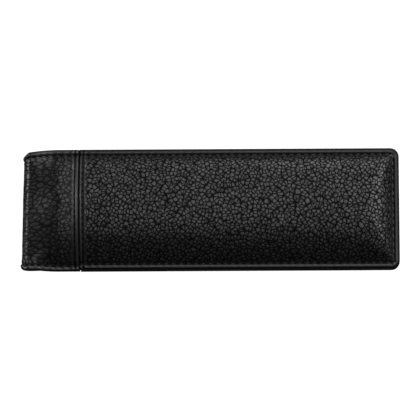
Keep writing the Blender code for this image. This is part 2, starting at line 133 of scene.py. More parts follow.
class PouchSizes(bpy.types.PropertyGroup):
    margin: size("Margin", "Width of the flat sewn border", 0.0031)
    margin_height: size("Margin height", "Leather's height over the seam's middle", 0.00115)
    side_shoulder: size("Side shoulder", "From the border to the crown along the sides", 0.0103)
    end_shoulder: size("End shoulder", "From the border to the crown at the closed end", 0.0083)
    corner: size("Corner radius", "Radius of the outline's corners", 0.0038)
    crown_corner: size("Crown corner", "Radius of the crown's corners", 0.0075)
    crown_rise: size("Crown rise", "How far the back swells over its board", 0.0014)
    leather: size("Leather", "Thickness of the leather", 0.0011)
    lining: size("Lining", "Thickness of the lining", 0.0004)
    lining_depth: size("Lining depth", "Depth of the lining under the leather's face", 0.0024)
    lining_inset: size("Lining inset", "From the outline to the lining's edge", 0.0042)
    near_trim: size("Near edge trim", "How far the back's near edge stays behind the front's", 0.0008)
    unevenness: size("Unevenness", "Height of the soft dents of a hand-made case", 0.00012)


class EdgeSizes(bpy.types.PropertyGroup):
    stitch_inset: size("Stitch inset", "From an edge to its line of stitches", 0.0025)
    groove_depth: size("Groove depth", "How deep the stitches pull the leather in", 0.0005)
    groove_width: size("Groove width", "Half width of that groove", 0.0004)
    bead: size("Bead", "How far the turned edge swells", 0.00035)
    flap_row: size("Flap row", "From the cross seam to the row on the flap", 0.0019)
    panel_row: size("Panel row", "From the cross seam to the row on the panel", 0.0015)
    rib: size("Rib", "Height of the folded edges beside the cross seam", 0.0007)
    seam_drop: size("Seam drop", "Depth of the line between those edges", 0.0009)


class FlapSizes(bpy.types.PropertyGroup):
    neck_setback: size("Neck setback", "How far the flap narrows at its second bend", 0.0008)
    fold_thickness: size("Fold thickness", "Leather and lining where the flap bends", 0.0016)
    tongue_thickness: size("Tongue thickness", "Turned edge of the tongue", 0.0027)
    tongue_corner: size("Tongue corner", "Radius of the tongue's corners", 0.0080)
    first_bend: size("First bend", "Half length of the first bend", 0.0024)
    other_bends: size("Other bends", "Half length of the other bends", 0.0019)
    pulled_in: size("Pulled in", "How far the folded end is pulled in", 0.00035)
    slipped: size("Slipped", "How far the folded end has slipped sideways", 0.0008)
    skew: share("Skew", "How far the folded end is out of square, per width", 0.0235)
    wrinkle: size("Wrinkles", "Height of the creases round the open end", 0.00004)
    lining_inset: size("Lining inset", "From the flap's edge to its lining", 0.0043)


class ThreadSizes(bpy.types.PropertyGroup):
    thickness: size("Thickness", "Radius of a stitch", 0.00030)
    edge_pitch: size("Edge pitch", "Stitch length along the edges", 0.00325)
    flap_pitch: size("Flap row pitch", "Stitch length in the flap's cross row", 0.00265)
    panel_pitch: size("Panel row pitch", "Stitch length in the panel's cross row", 0.0029)
    fill: share("Fill", "Share of the pitch that a stitch shows", 0.78)
    slant: share("Slant", "How far a stitch leans off its line", 0.16)
    colour: colour("Colour", "Waxed thread", (0.0024, 0.0024, 0.0026))


class LeatherLook(bpy.types.PropertyGroup):
    top: colour("Pebble colour", "Tops of the grain", (0.0145, 0.0145, 0.015))
    # The valley colour is painted shade, laid in the grain's creases where shade falls.
    valley_shade: colour("Valley colour", "Creases of the grain", (0.0022, 0.0022, 0.0022))
    grain: size("Grain", "Width of one pebble", 0.00172)
    grain_depth: size("Grain depth", "Height of a pebble", 0.00045)
    gloss: share("Gloss", "Roughness of the pebbles' tops", 0.5)
    polish: share("Polish", "Strength of the shine on the pebbles' tops", 1.0)


class LiningLook(bpy.types.PropertyGroup):
    thread: colour("Thread", "Raised threads of the lining", (0.022, 0.022, 0.024))
    # The gap colour is painted shade between the lining's threads.
    gap: colour("Gap", "Between the threads", (0.006, 0.006, 0.007))
    weave: size("Weave", "Width of one thread of the lining", 0.00045)


class StageLook(bpy.types.PropertyGroup):
    floor: colour("Floor", "Studio floor", (0.2, 0.2, 0.2))
    floor_glow: FloatProperty(
        name="Floor glow", description="Light of the backdrop itself", default=1.0, min=0
    )
    elevation: FloatProperty(
        name="Elevation", description="Camera's height as an angle", default=math.radians(83), subtype="ANGLE"
    )
    roll: FloatProperty(name="Roll", description="Camera's roll", default=math.radians(-0.3), subtype="ANGLE")
    distance: size("Distance", "From the camera to the case", 1.6)
    seen_width: size("Seen width", "Width of the picture at the case", 0.1845)
    aim_height: size("Aim height", "Height of the point that the camera looks at", 0.0130)
    floor_reach: size("Floor reach", "Half length of the floor", 1.6)
    floor_gap: size("Floor gap", "From the case down to the floor", 0.0004)
    key: FloatProperty(name="Key light", description="Power of the large soft light", default=6.6, min=0)


# Curves and waves on arrays


def clamp(x, low, high):
    """Share of the way from low to high, held between 0 and 1."""
    return np.clip((x - low) / (high - low), 0, 1)


def ease(x):
    """Share from 0 to 1 with a level start and end: 3 x^2 - 2 x^3."""
    x = np.clip(x, 0, 1)
    return x * x * (3 - 2 * x)


def eased(x, low, high):
    """Share of the way from low to high, with a level start and end."""
    return ease(clamp(x, low, high))


def bump(x, centre, width):
    """A smooth bump of height 1: exp(-((x - centre) / width)^2)."""
    return np.exp(-(((x - centre) / width) ** 2))


def dents(a, b, seed):
    """Soft unevenness between about -1 and 1: five crossed waves of 14 to 55 mm, phased by the seed."""
    total = np.zeros(np.broadcast(a, b).shape)
    waves = ((0.055, 0.3), (0.037, 1.4), (0.026, 2.3), (0.019, 0.8), (0.014, 2.9))
    for step, (length, turn) in enumerate(waves):
        phase = seed * 2.1 + step * 1.7
        along = a * math.cos(turn + seed) + b * math.sin(turn + seed)
        total = total + np.sin(2 * math.pi * along / length + phase) * (0.36 - 0.04 * step)
    return total


def mirrored(half, sign=-1):
    """An array followed by its mirror image, without its last value twice."""
    return np.concatenate((half, sign * half[-2::-1]))


def flat_places(x, y):
    """Places in a plane, for two arrays of any shapes that go together."""
    x, y = np.broadcast_arrays(x, y)
    return np.stack((x, y, np.zeros(x.shape)), axis=-1)


def unit(vectors):
    return vectors / np.linalg.norm(vectors, axis=-1, keepdims=True)


def normals_of(face, a, b, step=SMALL_STEP):
    """The way a face looks: the cross product of how its points move with b and with a."""
    along_a = face(a + step, b) - face(a - step, b)
    along_b = face(a, b + step) - face(a, b - step)
    return unit(np.cross(along_b, along_a))


# The pouch's faces


def rise_at(inset, side=1):
    """Height over the border at an inset from the outline.

    The back is an arch (1 - (1 - s)^2)^0.62 over the way s from the border to the middle. The front is a
    quarter sine wave over its shoulder, with a flat crown."""
    sizes = bpy.context.scene.pen_pouch
    height = HALF_THICKNESS - sizes.margin_height
    if side < 0:
        s = clamp(inset, sizes.margin, sizes.margin + sizes.side_shoulder)
        return height * np.sin(math.pi / 2 * (np.sqrt(s * s + 0.0025) - 0.05) / (math.sqrt(1.0025) - 0.05))
    s = clamp(inset, sizes.margin, HALF_WIDTH)
    foot = 0.04
    arch = ((1 - (1 - s) ** 2 + foot) ** 0.62 - foot**0.62) / ((1 + foot) ** 0.62 - foot**0.62)
    return (height + sizes.crown_rise) * arch


def outline(open_end, closed_end, half_width, inset, end_inset, radius, place):
    """Plan points and outward directions round three sides of a rounded rectangle.

    place goes from -3 at the open end of one side, over its corner between -2 and -1, along the closed
    end and back to 3. Sides are straight, corners are quarter circles of the radius, and both halves
    mirror each other."""
    walk = 3 - np.abs(place)
    mirror = np.where(place < 0, 1.0, -1.0)
    side, corner, end = clamp(walk, 0, 1), clamp(walk, 1, 2), clamp(walk, 2, 3)
    turn = corner * math.pi / 2
    centre_x = closed_end - end_inset - radius
    x = open_end + (centre_x - open_end) * side + radius * np.sin(turn)
    y = (half_width - inset - radius) * (1 - end) + radius * np.cos(turn)
    return x, y * mirror, np.sin(turn), np.cos(turn) * mirror


def wall_plan(open_end, inset, place):
    """Plan points and outward directions of a wall at an inset, with a narrower shoulder at its end."""
    sizes = bpy.context.scene.pen_pouch
    crown = sizes.margin + sizes.side_shoulder
    climb = clamp(inset, sizes.margin, crown)
    end_inset = np.minimum(inset, sizes.margin) + climb * sizes.end_shoulder + np.maximum(inset - crown, 0)
    radius = np.maximum(sizes.corner - inset, 0.0006)
    radius = np.where(inset > sizes.margin, 0.0006 + climb * (sizes.crown_corner - 0.0006), radius)
    left = np.maximum(HALF_WIDTH - inset, 0)
    share_of_left = sizes.crown_corner / (HALF_WIDTH - crown)
    rounder = share_of_left + (1 - share_of_left) * eased(inset, crown, HALF_WIDTH - 0.004)
    radius = np.where(inset > crown, left * rounder, radius)
    return outline(open_end, CLOSED_END, HALF_WIDTH, inset, end_inset, radius, place)


def wall_face(side, open_end, inset, place):
    """Points and outward directions of the back (side 1) or front (side -1) of the pouch.

    A point's inset from the outline gives its height, and the slope of that height tips its direction
    outwards."""
    sizes = bpy.context.scene.pen_pouch
    inset, place = np.broadcast_arrays(inset, place)
    x, y, out_x, out_y = wall_plan(open_end, inset, place)
    change = rise_at(inset + SMALL_STEP, side) - rise_at(inset - SMALL_STEP, side)
    slope = change / (2 * SMALL_STEP)
    narrower = sizes.end_shoulder / sizes.side_shoulder
    shoulder = inset < sizes.margin + sizes.side_shoulder
    steeper = 1 + (1 / narrower - 1) * clamp(3 - np.abs(place), 1, 2) * shoulder
    z = SEAM_LEVEL + side * (sizes.margin_height + rise_at(inset, side))
    points = np.stack((x, y, z), axis=-1)
    slope = slope * steeper
    return points, unit(np.stack((out_x * slope, out_y * slope, np.full(x.shape, float(side))), axis=-1))


def spread_of(inset, place, open_end):
    """The leather laid flat: plan points pushed outwards by as much as the way over the dome is longer."""
    fine = np.linspace(0, HALF_WIDTH, 400)
    over = np.concatenate(([0], np.cumsum(np.hypot(np.diff(fine), np.diff(rise_at(fine))))))
    longer = (over[-1] - np.interp(inset, fine, over)) - (HALF_WIDTH - inset)
    x, y, out_x, out_y = wall_plan(open_end, *np.broadcast_arrays(inset, place))
    return flat_places(x + out_x * longer, y + out_y * longer)


# The flap's faces


def flap_corners():
    """The flap's path before its bends are rounded: lengths, x and z, run on 20 mm past both ends."""
    corners = [(SEAM_X + 0.02, BACK_HIGH.z), (SEAM_X, BACK_HIGH.z)]
    corners += [(joint["pos_m"][0], joint["pos_m"][2]) for joint in JOINTS]
    corners += [(TONGUE_HIGH.x, TONGUE_LOW.z), (TONGUE_HIGH.x + 0.02, TONGUE_LOW.z)]
    corners = np.array(corners)
    lengths = np.concatenate(([0], np.cumsum(np.hypot(*np.diff(corners, axis=0).T)))) - 0.02
    return lengths, corners[:, 0], corners[:, 1]


LENGTHS, CORNER_X, CORNER_Z = flap_corners()
BENDS = LENGTHS[2:8]
FLAP_END = LENGTHS[8]
BORDERS = np.concatenate(([0], (BENDS[:-1] + BENDS[1:]) / 2, [FLAP_END]))


def flap_path(length):
    """Points of the rounded path: the mean of the cornered path over a window as long as the nearest bend."""
    sizes = bpy.context.scene.pen_flap
    length = np.asarray(length, dtype=float)
    window = sizes.first_bend + (sizes.other_bends - sizes.first_bend) * ease(
        clamp(length, BENDS[0] + 0.003, BENDS[1] - 0.003)
    )
    x, z, whole = 0, 0, 0
    for place in np.linspace(-1, 1, 13)[1:-1]:
        weight = (1 - place * place) ** 1.5
        x = x + weight * np.interp(length + place * window, LENGTHS, CORNER_X)
        z = z + weight * np.interp(length + place * window, LENGTHS, CORNER_Z)
        whole += weight
    return x / whole, z / whole


def flap_half_width(length):
    """The flap narrows a little to its second bend, and again to its third."""
    neck = HALF_WIDTH - bpy.context.scene.pen_flap.neck_setback
    first = eased(length, BENDS[0], BENDS[1])
    second = eased(length, BENDS[1], BENDS[2])
    return HALF_WIDTH + (neck - HALF_WIDTH) * first + (TONGUE_HALF_WIDTH - neck) * second


def flap_face(length, y):
    """Points of the flap's outer face: the path, lowered at the sides by what is left of the dome.

    All of it is left up to the first bend, and it fades as a squared cosine to nothing at the second."""
    length, y = np.broadcast_arrays(length, y)
    x, z = flap_path(length)
    kept = np.cos(math.pi / 2 * clamp(length, BENDS[0] - 0.001, BENDS[1])) ** 2
    full = rise_at(np.full(1, HALF_WIDTH))[0]
    drop = (full - rise_at(flap_half_width(length) - np.abs(y))) * kept
    arch = bpy.context.scene.pen_pouch.crown_rise * eased(length, BENDS[1], BENDS[0])
    sizes = bpy.context.scene.pen_flap
    pulled = eased(length, BENDS[0], BENDS[2]) * (1 - eased(length, BENDS[4], BENDS[5]))
    across = y - pulled * sizes.slipped
    return np.stack((x + pulled * (sizes.pulled_in + sizes.skew * y), across, z - drop + arch), axis=-1)


def flap_looks(length, y):
    """The way the flap's outer face looks, kept from crossing its middle or its edge."""
    edge = flap_half_width(length) - 3e-5
    return normals_of(flap_face, length, np.clip(y, -edge, edge))


def flap_thickness(length):
    """Thickness of the folds, growing into the tongue's turned edge after the last bend."""
    sizes = bpy.context.scene.pen_flap
    growth = eased(length, BENDS[-1] - 0.001, BENDS[-1] + 0.004)
    return sizes.fold_thickness + (sizes.tongue_thickness - sizes.fold_thickness) * growth


# Relief in the leather, as a height over its face


def stitch_line_shade(distance, along, pitch, width=0.00048):
    """How much painted shade darkens a line of stitches in its groove, most of all at each stitch's middle.
    """
    wave = 0.5 - 0.5 * np.cos(2 * math.pi * along / pitch)
    return bump(distance, 0, width * (0.85 + 0.45 * wave)) * (0.6 + 0.4 * wave)


def edge_relief(inset, along):
    """A plump turned edge that falls off outwards, then a groove that the stitch holes pull deeper."""
    sizes = bpy.context.scene.pen_edges
    pitch = bpy.context.scene.pen_thread.edge_pitch
    wave = np.cos(2 * math.pi * along / pitch)
    groove = sizes.groove_depth * bump(inset, sizes.stitch_inset, sizes.groove_width) * (0.7 - 0.3 * wave)
    bead = sizes.bead * np.exp(-(((inset - sizes.stitch_inset * 0.46) / (sizes.stitch_inset * 0.4)) ** 4))
    fall = sizes.bead * 0.8 * (1 - clamp(inset, 0, 0.0009)) ** 2
    puckers = sizes.bead * 0.5 * wave * bump(np.abs(inset - sizes.stitch_inset), 0.0008, 0.0005)
    return bead + puckers - groove - fall


def seam_relief(distance, row, y, pitch):
    """Beside the cross seam: a narrow drop, a rib, the row's groove with its holes, and a low swell."""
    sizes = bpy.context.scene.pen_edges
    holes = 0.7 + 0.3 * np.cos(2 * math.pi * y / pitch)
    inner = eased(HALF_WIDTH - np.abs(y), 0.0008, 0.0026)
    drop = sizes.seam_drop * (1 - eased(distance, 0.0, 0.0005)) * (0.15 + 0.85 * inner)
    rib = sizes.rib * bump(distance, row * 0.5, row * 0.36)
    groove = sizes.groove_depth * bump(distance, row, 0.00042) * holes
    swell = sizes.rib * 0.15 * bump(distance, row + 0.0011, 0.0007)
    return rib + swell - drop - groove


def wrinkle_relief(length, y):
    """Creases where the leather is pulled round the open end: long waves that fade away from the bends."""
    height = bpy.context.scene.pen_flap.wrinkle
    reach = eased(length, BENDS[0] - 0.001, BENDS[0] + 0.004) * (
        1 - eased(length, BENDS[5] - 0.006, BENDS[5] + 0.002)
    )
    lines = np.sin(2 * math.pi * (y / 0.0062 + 0.35 * np.sin(length / 0.0031) + 0.5 * np.sin(y / 0.0093)))
    cross = np.sin(2 * math.pi * (length / 0.0043 + 0.6 * np.sin(y / 0.0071) + y / 0.031))
    fine = np.sin(2 * math.pi * (y / 0.0027 - length / 0.0061 + 0.3 * np.sin(length / 0.0022)))
    return height * reach * (0.45 * lines + 0.35 * cross + 0.3 * fine)


# Meshes


def grid_looks(points, ring):
    """The way each point of a grid looks, from how its place changes both ways, true up to the ends."""
    along = np.gradient(points, axis=1, edge_order=2)
    if ring:
        around = np.roll(points, -1, axis=0) - np.roll(points, 1, axis=0)
    else:
        around = np.gradient(points, axis=0, edge_order=2)
    looks = np.cross(along, around)
    return looks / np.maximum(np.linalg.norm(looks, axis=-1, keepdims=True), 1e-12)


def set_looks(mesh):
    """Shades the smooth faces by the looks kept with the points, so that strips meet without a line."""
    count = len(mesh.vertices)
    looks = np.empty(count * 3, dtype=np.float32)
    mesh.attributes["looks"].data.foreach_get("vector", looks)
    looks = looks.reshape(-1, 3)
    own = np.empty(count * 3, dtype=np.float32)
    mesh.vertices.foreach_get("normal", own)
    looks = looks * np.sign((looks * own.reshape(-1, 3)).sum(axis=1, keepdims=True))
    corners = np.empty(len(mesh.loops), dtype=np.int32)
    mesh.loops.foreach_get("vertex_index", corners)
    sharp = np.empty(len(mesh.polygons), dtype=bool)
    mesh.polygons.foreach_get("use_smooth", sharp)
    totals = np.empty(len(mesh.polygons), dtype=np.int32)
    mesh.polygons.foreach_get("loop_total", totals)
    shaded = looks[corners] * np.repeat(sharp, totals)[:, None]
    mesh.attributes.remove(mesh.attributes["looks"])
    mesh.normals_split_custom_set(shaded)


def add_mesh(name, points, quads, spread, masks=(), flat=(), looks=None):
    """A welded mesh from arrays of points and four-cornered faces, with its flat places and masks.

    flat marks the faces that aren't shaded smooth. If the solid's signed volume is negative, all faces
    are turned."""
    points = points.reshape(-1, 3)
    quads = quads.reshape(-1, 4)
    a, b, c, d = (points[quads[:, corner]] for corner in range(4))
    volume = np.einsum("ij,ij->i", a, np.cross(b, c) + np.cross(c, d)).sum()
    if volume < 0:
        quads = quads[:, ::-1]
    mesh = bpy.data.meshes.new(name)
    mesh.from_pydata(points, [], quads)
    smooth = np.ones(len(quads), dtype=bool)
    smooth[list(flat)] = False
    mesh.polygons.foreach_set("use_smooth", smooth)
    place = mesh.attributes.new("spread", "FLOAT_VECTOR", "POINT")
    place.data.foreach_set("vector", spread.reshape(-1, 3).astype(np.float32).ravel())
    if looks is not None:
        kept = mesh.attributes.new("looks", "FLOAT_VECTOR", "POINT")
        kept.data.foreach_set("vector", looks.reshape(-1, 3).astype(np.float32).ravel())
    for label, values in masks:
        mask = mesh.attributes.new(label, "FLOAT", "POINT")
        mask.data.foreach_set("value", np.broadcast_to(values, len(points)).astype(np.float32).ravel())
    weld = bmesh.new()
    weld.from_mesh(mesh)
    bmesh.ops.remove_doubles(weld, verts=weld.verts, dist=2e-6)
    bmesh.ops.dissolve_degenerate(weld, edges=weld.edges, dist=1e-6)
    weld.to_mesh(mesh)
    weld.free()
    if not mesh.polygons:
        raise RuntimeError(f"{name} has no faces left")
    if looks is not None:
        set_looks(mesh)
    piece = bpy.data.objects.new(name, mesh)
    bpy.context.scene.collection.objects.link(piece)
    return piece


def quads_between(rows, next_rows):
    """Four-cornered faces between rows of point numbers and the rows after them."""
    corners = (rows[:, :-1], rows[:, 1:], next_rows[:, 1:], next_rows[:, :-1])
    return np.stack(corners, axis=-1).reshape(-1, 4)


def solid(name, points, spread, masks=(), ring=False, meets=False):
    """A closed solid from a grid of points, with rows round a profile and columns along it.

    Row k of the outer face lies over row -k of the inner face, so the two open ends are closed by quads
    between such pairs. A ring's last row also joins its first. A piece that meets others end to end is
    shaded to match."""
    rows, columns = points.shape[:2]
    index = np.arange(rows * columns).reshape(rows, columns)
    here, below = (index, np.roll(index, -1, axis=0)) if ring else (index[:-1], index[1:])
    quads = quads_between(here, below)
    k = np.arange(rows // 2 - 1)
    pairs = np.stack((k, k + 1, rows - 2 - k, rows - 1 - k), axis=-1)
    caps = np.concatenate((index[pairs, 0], index[pairs[:, ::-1], -1]))
    flat = range(len(quads), len(quads) + len(caps))
    masks = [(label, np.broadcast_to(values, (rows, columns)).ravel()) for label, values in masks]
    looks = grid_looks(points, ring) if meets else None
    return add_mesh(name, points, np.concatenate((quads, caps)), spread, masks, flat, looks)


def sheet(name, points, looks, top, bottom, spread, masks=(), ring=False, meets=False):
    """A solid between two faces at depths under a grid of points, the outer at top and the inner at bottom.

    A ring's profile starts on the outer face. Any other starts on the inner one, and its edge joins the
    two."""

    def joined(outer, inner):
        return np.concatenate((outer, inner[::-1]) if ring else (inner[::-1], outer))

    outer, inner = (points - looks * depth[..., None] for depth in (top, bottom))
    masks = [(label, joined(values, values)) for label, values in masks]
    return solid(name, joined(outer, inner), joined(spread, spread), masks, ring, meets)


def finish(piece, material, body=None, replaces=()):
    """Gives a piece its material, the CAD nodes it replaces and the body that it rides on."""
    piece.data.materials.append(material)
    if replaces:
        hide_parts(*replaces)
    if body:
        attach(piece, body)
    return piece


def edge_profile(thickness, first, insets):
    """Half of a round-edged profile, as insets and depths from the edge's middle over the outer face.

    The edge is a half circle over the thickness, and the face after it is level."""
    turn = np.radians(np.array((10, 32, 54, 75)))
    radius = thickness / 2
    inset = np.concatenate((first + radius * (1 - np.cos(turn)), insets))
    depth = np.concatenate((radius * (1 - np.sin(turn)), np.zeros(len(insets))))
    return inset, depth


def even_rows(*stops):
    """Numbers from stop to stop, each stop given as (value, step up to it). The first is only a value."""
    values = [np.array([stops[0]])]
    for last, (value, step) in zip((stops[0], *(stop[0] for stop in stops[1:])), stops[1:]):
        count = max(1, round(abs(value - last) / step))
        values.append(np.linspace(last, value, count + 1)[1:])
    return np.concatenate(values)


# Materials


def new_group(name, inputs, outputs):
    """An empty node group with those sockets, each given as (kind, name, default)."""
    group = bpy.data.node_groups.new(name, "ShaderNodeTree")
    for kind, label, default in inputs:
        socket = group.interface.new_socket(label, in_out="INPUT", socket_type="NodeSocket" + kind)
        if default is not None:
            socket.default_value = default
    for kind, label in outputs:
        group.interface.new_socket(label, in_out="OUTPUT", socket_type="NodeSocket" + kind)
    return group, group.nodes.new("NodeGroupInput"), group.nodes.new("NodeGroupOutput")


def node(tree, kind, links=(), **settings):
    """Adds a node, sets its properties, and sets or links its inputs, given as (socket, value or output)."""
    made = tree.nodes.new("ShaderNode" + kind)
    for name, value in settings.items():
        setattr(made, name, value)
    for socket, value in links:
        if isinstance(value, bpy.types.NodeSocket):
            tree.links.new(value, made.inputs[socket])
        else:
            made.inputs[socket].default_value = value
    return made


def math_of(tree, operation, *values, clamped=False):
    return node(tree, "Math", enumerate(values), operation=operation, use_clamp=clamped).outputs[0]


def ranged(tree, value, low, high, to_low=0.0, to_high=1.0, smooth=True):
    """Maps a value's range to another, with a smooth step unless told otherwise."""
    links = [("Value", value), ("From Min", low), ("From Max", high), ("To Min", to_low), ("To Max", to_high)]
    kind = "SMOOTHSTEP" if smooth else "LINEAR"
    return node(tree, "MapRange", links, interpolation_type=kind).outputs["Result"]


def mixed(tree, share, first, second):
    """Colour between two colours."""
    made = node(tree, "Mix", data_type="RGBA")
    for socket, value in zip((made.inputs[0], made.inputs[6], made.inputs[7]), (share, first, second)):
        if isinstance(value, bpy.types.NodeSocket):
            tree.links.new(value, socket)
        else:
            socket.default_value = (*value, 1)[:4]
    return made.outputs[2]


def noise_of(tree, vector, scale, detail=2.0, output="Fac"):
    links = [("Vector", vector), ("Scale", scale), ("Detail", detail)]
    return node(tree, "TexNoise", links).outputs[output]


def pebble_group():
    """Pebble grain: irregular rounded cells parted by narrow creases.

    The laid-flat place is bent by two noises and cut into cells. A cell's height is an eased dome over
    the distance to its edge and to its middle, each a little higher or lower than the next. Long folds
    cross the cells at a slant."""
    group, inside, outside = new_group(
        "pebble_grain",
        (("Vector", "Place", None), ("Float", "Cell width", 0.002), ("Float", "Smoothed", 0.0)),
        (("Float", "Height"), ("Float", "Crease"), ("Float", "Tint")),
    )
    maths = partial(math_of, group)
    vectors = partial(node, group, "VectorMath")
    cells_of = partial(node, group, "TexVoronoi", voronoi_dimensions="2D")
    per_cell = maths("DIVIDE", 1.0, inside.outputs["Cell width"])
    turned = node(group, "Mapping", (("Vector", inside.outputs["Place"]), ("Rotation", (0, 0, 0.6))))
    place = vectors(((0, turned.outputs[0]), ("Scale", per_cell)), operation="SCALE").outputs[0]
    for scale, reach in ((0.35, 0.55), (1.3, 0.26)):
        drift = noise_of(group, place, scale, 1.0, "Color")
        centred = vectors(((0, drift), (1, (0.5, 0.5, 0.5))), operation="SUBTRACT").outputs[0]
        moved = vectors(((0, centred), ("Scale", reach * 2)), operation="SCALE").outputs[0]
        place = vectors(((0, place), (1, moved)), operation="ADD").outputs[0]
    cell_links = (("Vector", place), ("Scale", 1.0), ("Randomness", 1.0))
    edge = cells_of(cell_links, feature="DISTANCE_TO_EDGE").outputs["Distance"]
    cells = cells_of(cell_links, feature="F1")
    each = node(group, "SeparateColor", (("Color", cells.outputs["Color"]),)).outputs["Red"]
    small = noise_of(group, place, 2.6, 2.0)
    dome = ranged(group, maths("MULTIPLY_ADD", small, 0.2, edge), 0.06, 0.4)
    crown = ranged(group, cells.outputs["Distance"], 0.05, 0.8, 1.0, 0.3)
    dome = maths("MULTIPLY", dome, crown)
    level = ranged(group, each, 0.0, 1.0, 0.55, 1.0, smooth=False)
    height = maths("MULTIPLY", dome, level)
    line_links = (("Vector", place), ("Rotation", (0, 0, -0.1)), ("Scale", (0.26, 0.5, 1.0)))
    lines = node(group, "Mapping", line_links).outputs[0]
    long_cells = cells_of((("Vector", lines), ("Scale", 1.0)), feature="DISTANCE_TO_EDGE")
    fold = ranged(group, long_cells.outputs["Distance"], 0.0, 0.09, 1.0, 0.0)
    calm = maths("SUBTRACT", 1.0, maths("MULTIPLY", inside.outputs["Smoothed"], 0.88), clamped=True)
    fold = maths("MULTIPLY", fold, maths("MINIMUM", maths("MULTIPLY", calm, 2.2), 1.0))
    height = maths("SUBTRACT", maths("MULTIPLY", height, calm), maths("MULTIPLY", fold, 0.3))
    # Painted shade: the Crease output darkens the colour in the valleys between the pebbles and along the
    # long folds, where shade falls.
    low = ranged(group, maths("SUBTRACT", 1.0, maths("MULTIPLY", dome, level)), 0.3, 1.0)
    crease_shade = maths("MAXIMUM", maths("MULTIPLY", low, calm), maths("MULTIPLY", fold, 0.8))
    tint = maths("MULTIPLY_ADD", noise_of(group, place, 0.12, 2.0), 0.6, maths("MULTIPLY", each, 0.4))
    for label, value in (("Height", height), ("Crease", crease_shade), ("Tint", tint)):
        group.links.new(value, outside.inputs[label])
    return group


def twist_group():
    """Twisted cord: slanting plies, placed by the length along a thread and the turn round it."""
    group, inside, outside = new_group(
        "twisted_plies",
        (("Vector", "Place", None), ("Float", "Plies per mm", 1.6)),
        (("Float", "Height"), ("Float", "Groove")),
    )
    parts = node(group, "SeparateXYZ", (("Vector", inside.outputs["Place"]),))
    plies = math_of(group, "MULTIPLY", inside.outputs["Plies per mm"], 1000.0)
    turn = math_of(group, "ADD", math_of(group, "MULTIPLY", parts.outputs["X"], plies), parts.outputs["Y"])
    wave = math_of(group, "SINE", math_of(group, "MULTIPLY", turn, 2 * math.pi))
    height = math_of(group, "MULTIPLY_ADD", wave, 0.5, 0.5)
    group.links.new(height, outside.inputs["Height"])
    # The Groove output is the mask that the thread's colour uses for painted shade between the plies.
    group.links.new(ranged(group, height, 0.0, 0.35, 1.0, 0.0), outside.inputs["Groove"])
    return group


def weave_group():
    """Plain weave: two crossed sets of threads, over and under each other like a chequer board."""
    group, inside, outside = new_group(
        "plain_weave",
        (("Vector", "Place", None), ("Float", "Thread width", 0.0005)),
        (("Float", "Height"), ("Float", "Gap")),
    )
    per_thread = math_of(group, "DIVIDE", math.pi, inside.outputs["Thread width"])
    parts = node(group, "SeparateXYZ", (("Vector", inside.outputs["Place"]),))
    maths = partial(math_of, group)
    waves = [maths("SINE", maths("MULTIPLY", parts.outputs[axis], per_thread)) for axis in ("X", "Y")]
    ridge = maths("MAXIMUM", *(maths("ABSOLUTE", wave) for wave in waves))
    fuzz = noise_of(group, inside.outputs["Place"], 2600.0, 2.0)
    height = maths("MULTIPLY_ADD", maths("MULTIPLY", *waves), 0.3, maths("MULTIPLY_ADD", fuzz, 0.4, ridge))
    group.links.new(height, outside.inputs["Height"])
    # The Gap output is the mask that the cloths' colours use for painted shade between the threads.
    group.links.new(ranged(group, ridge, 0.35, 0.8, 1.0, 0.0), outside.inputs["Gap"])
    return group


def new_material(name):
    """A material with only its output and its Principled shader, and the tree to add to."""
    material = bpy.data.materials.new(name)
    material.use_nodes = True
    return material, material.node_tree, material.node_tree.nodes["Principled BSDF"]


def group_of(tree, name, links):
    return node(tree, "Group", links, node_tree=bpy.data.node_groups[name])


def attribute_of(tree, name, output="Fac"):
    return node(tree, "Attribute", attribute_name=name).outputs[output]


def raised(tree, shader, height, distance, under=None):
    """Turns a height into a bump on the shader, over another bump where one is given."""
    links = [("Height", height), ("Distance", distance)] + ([("Normal", under)] if under else [])
    made = node(tree, "Bump", links).outputs["Normal"]
    tree.links.new(made, shader.inputs["Normal"])
    return made


def dress(tree, shader, colour, roughness, height, distance, under=None):
    """Feeds a shader's colour and roughness, and its normal from a height."""
    tree.links.new(colour, shader.inputs["Base Color"])
    tree.links.new(roughness, shader.inputs["Roughness"])
    raised(tree, shader, height, distance, under)


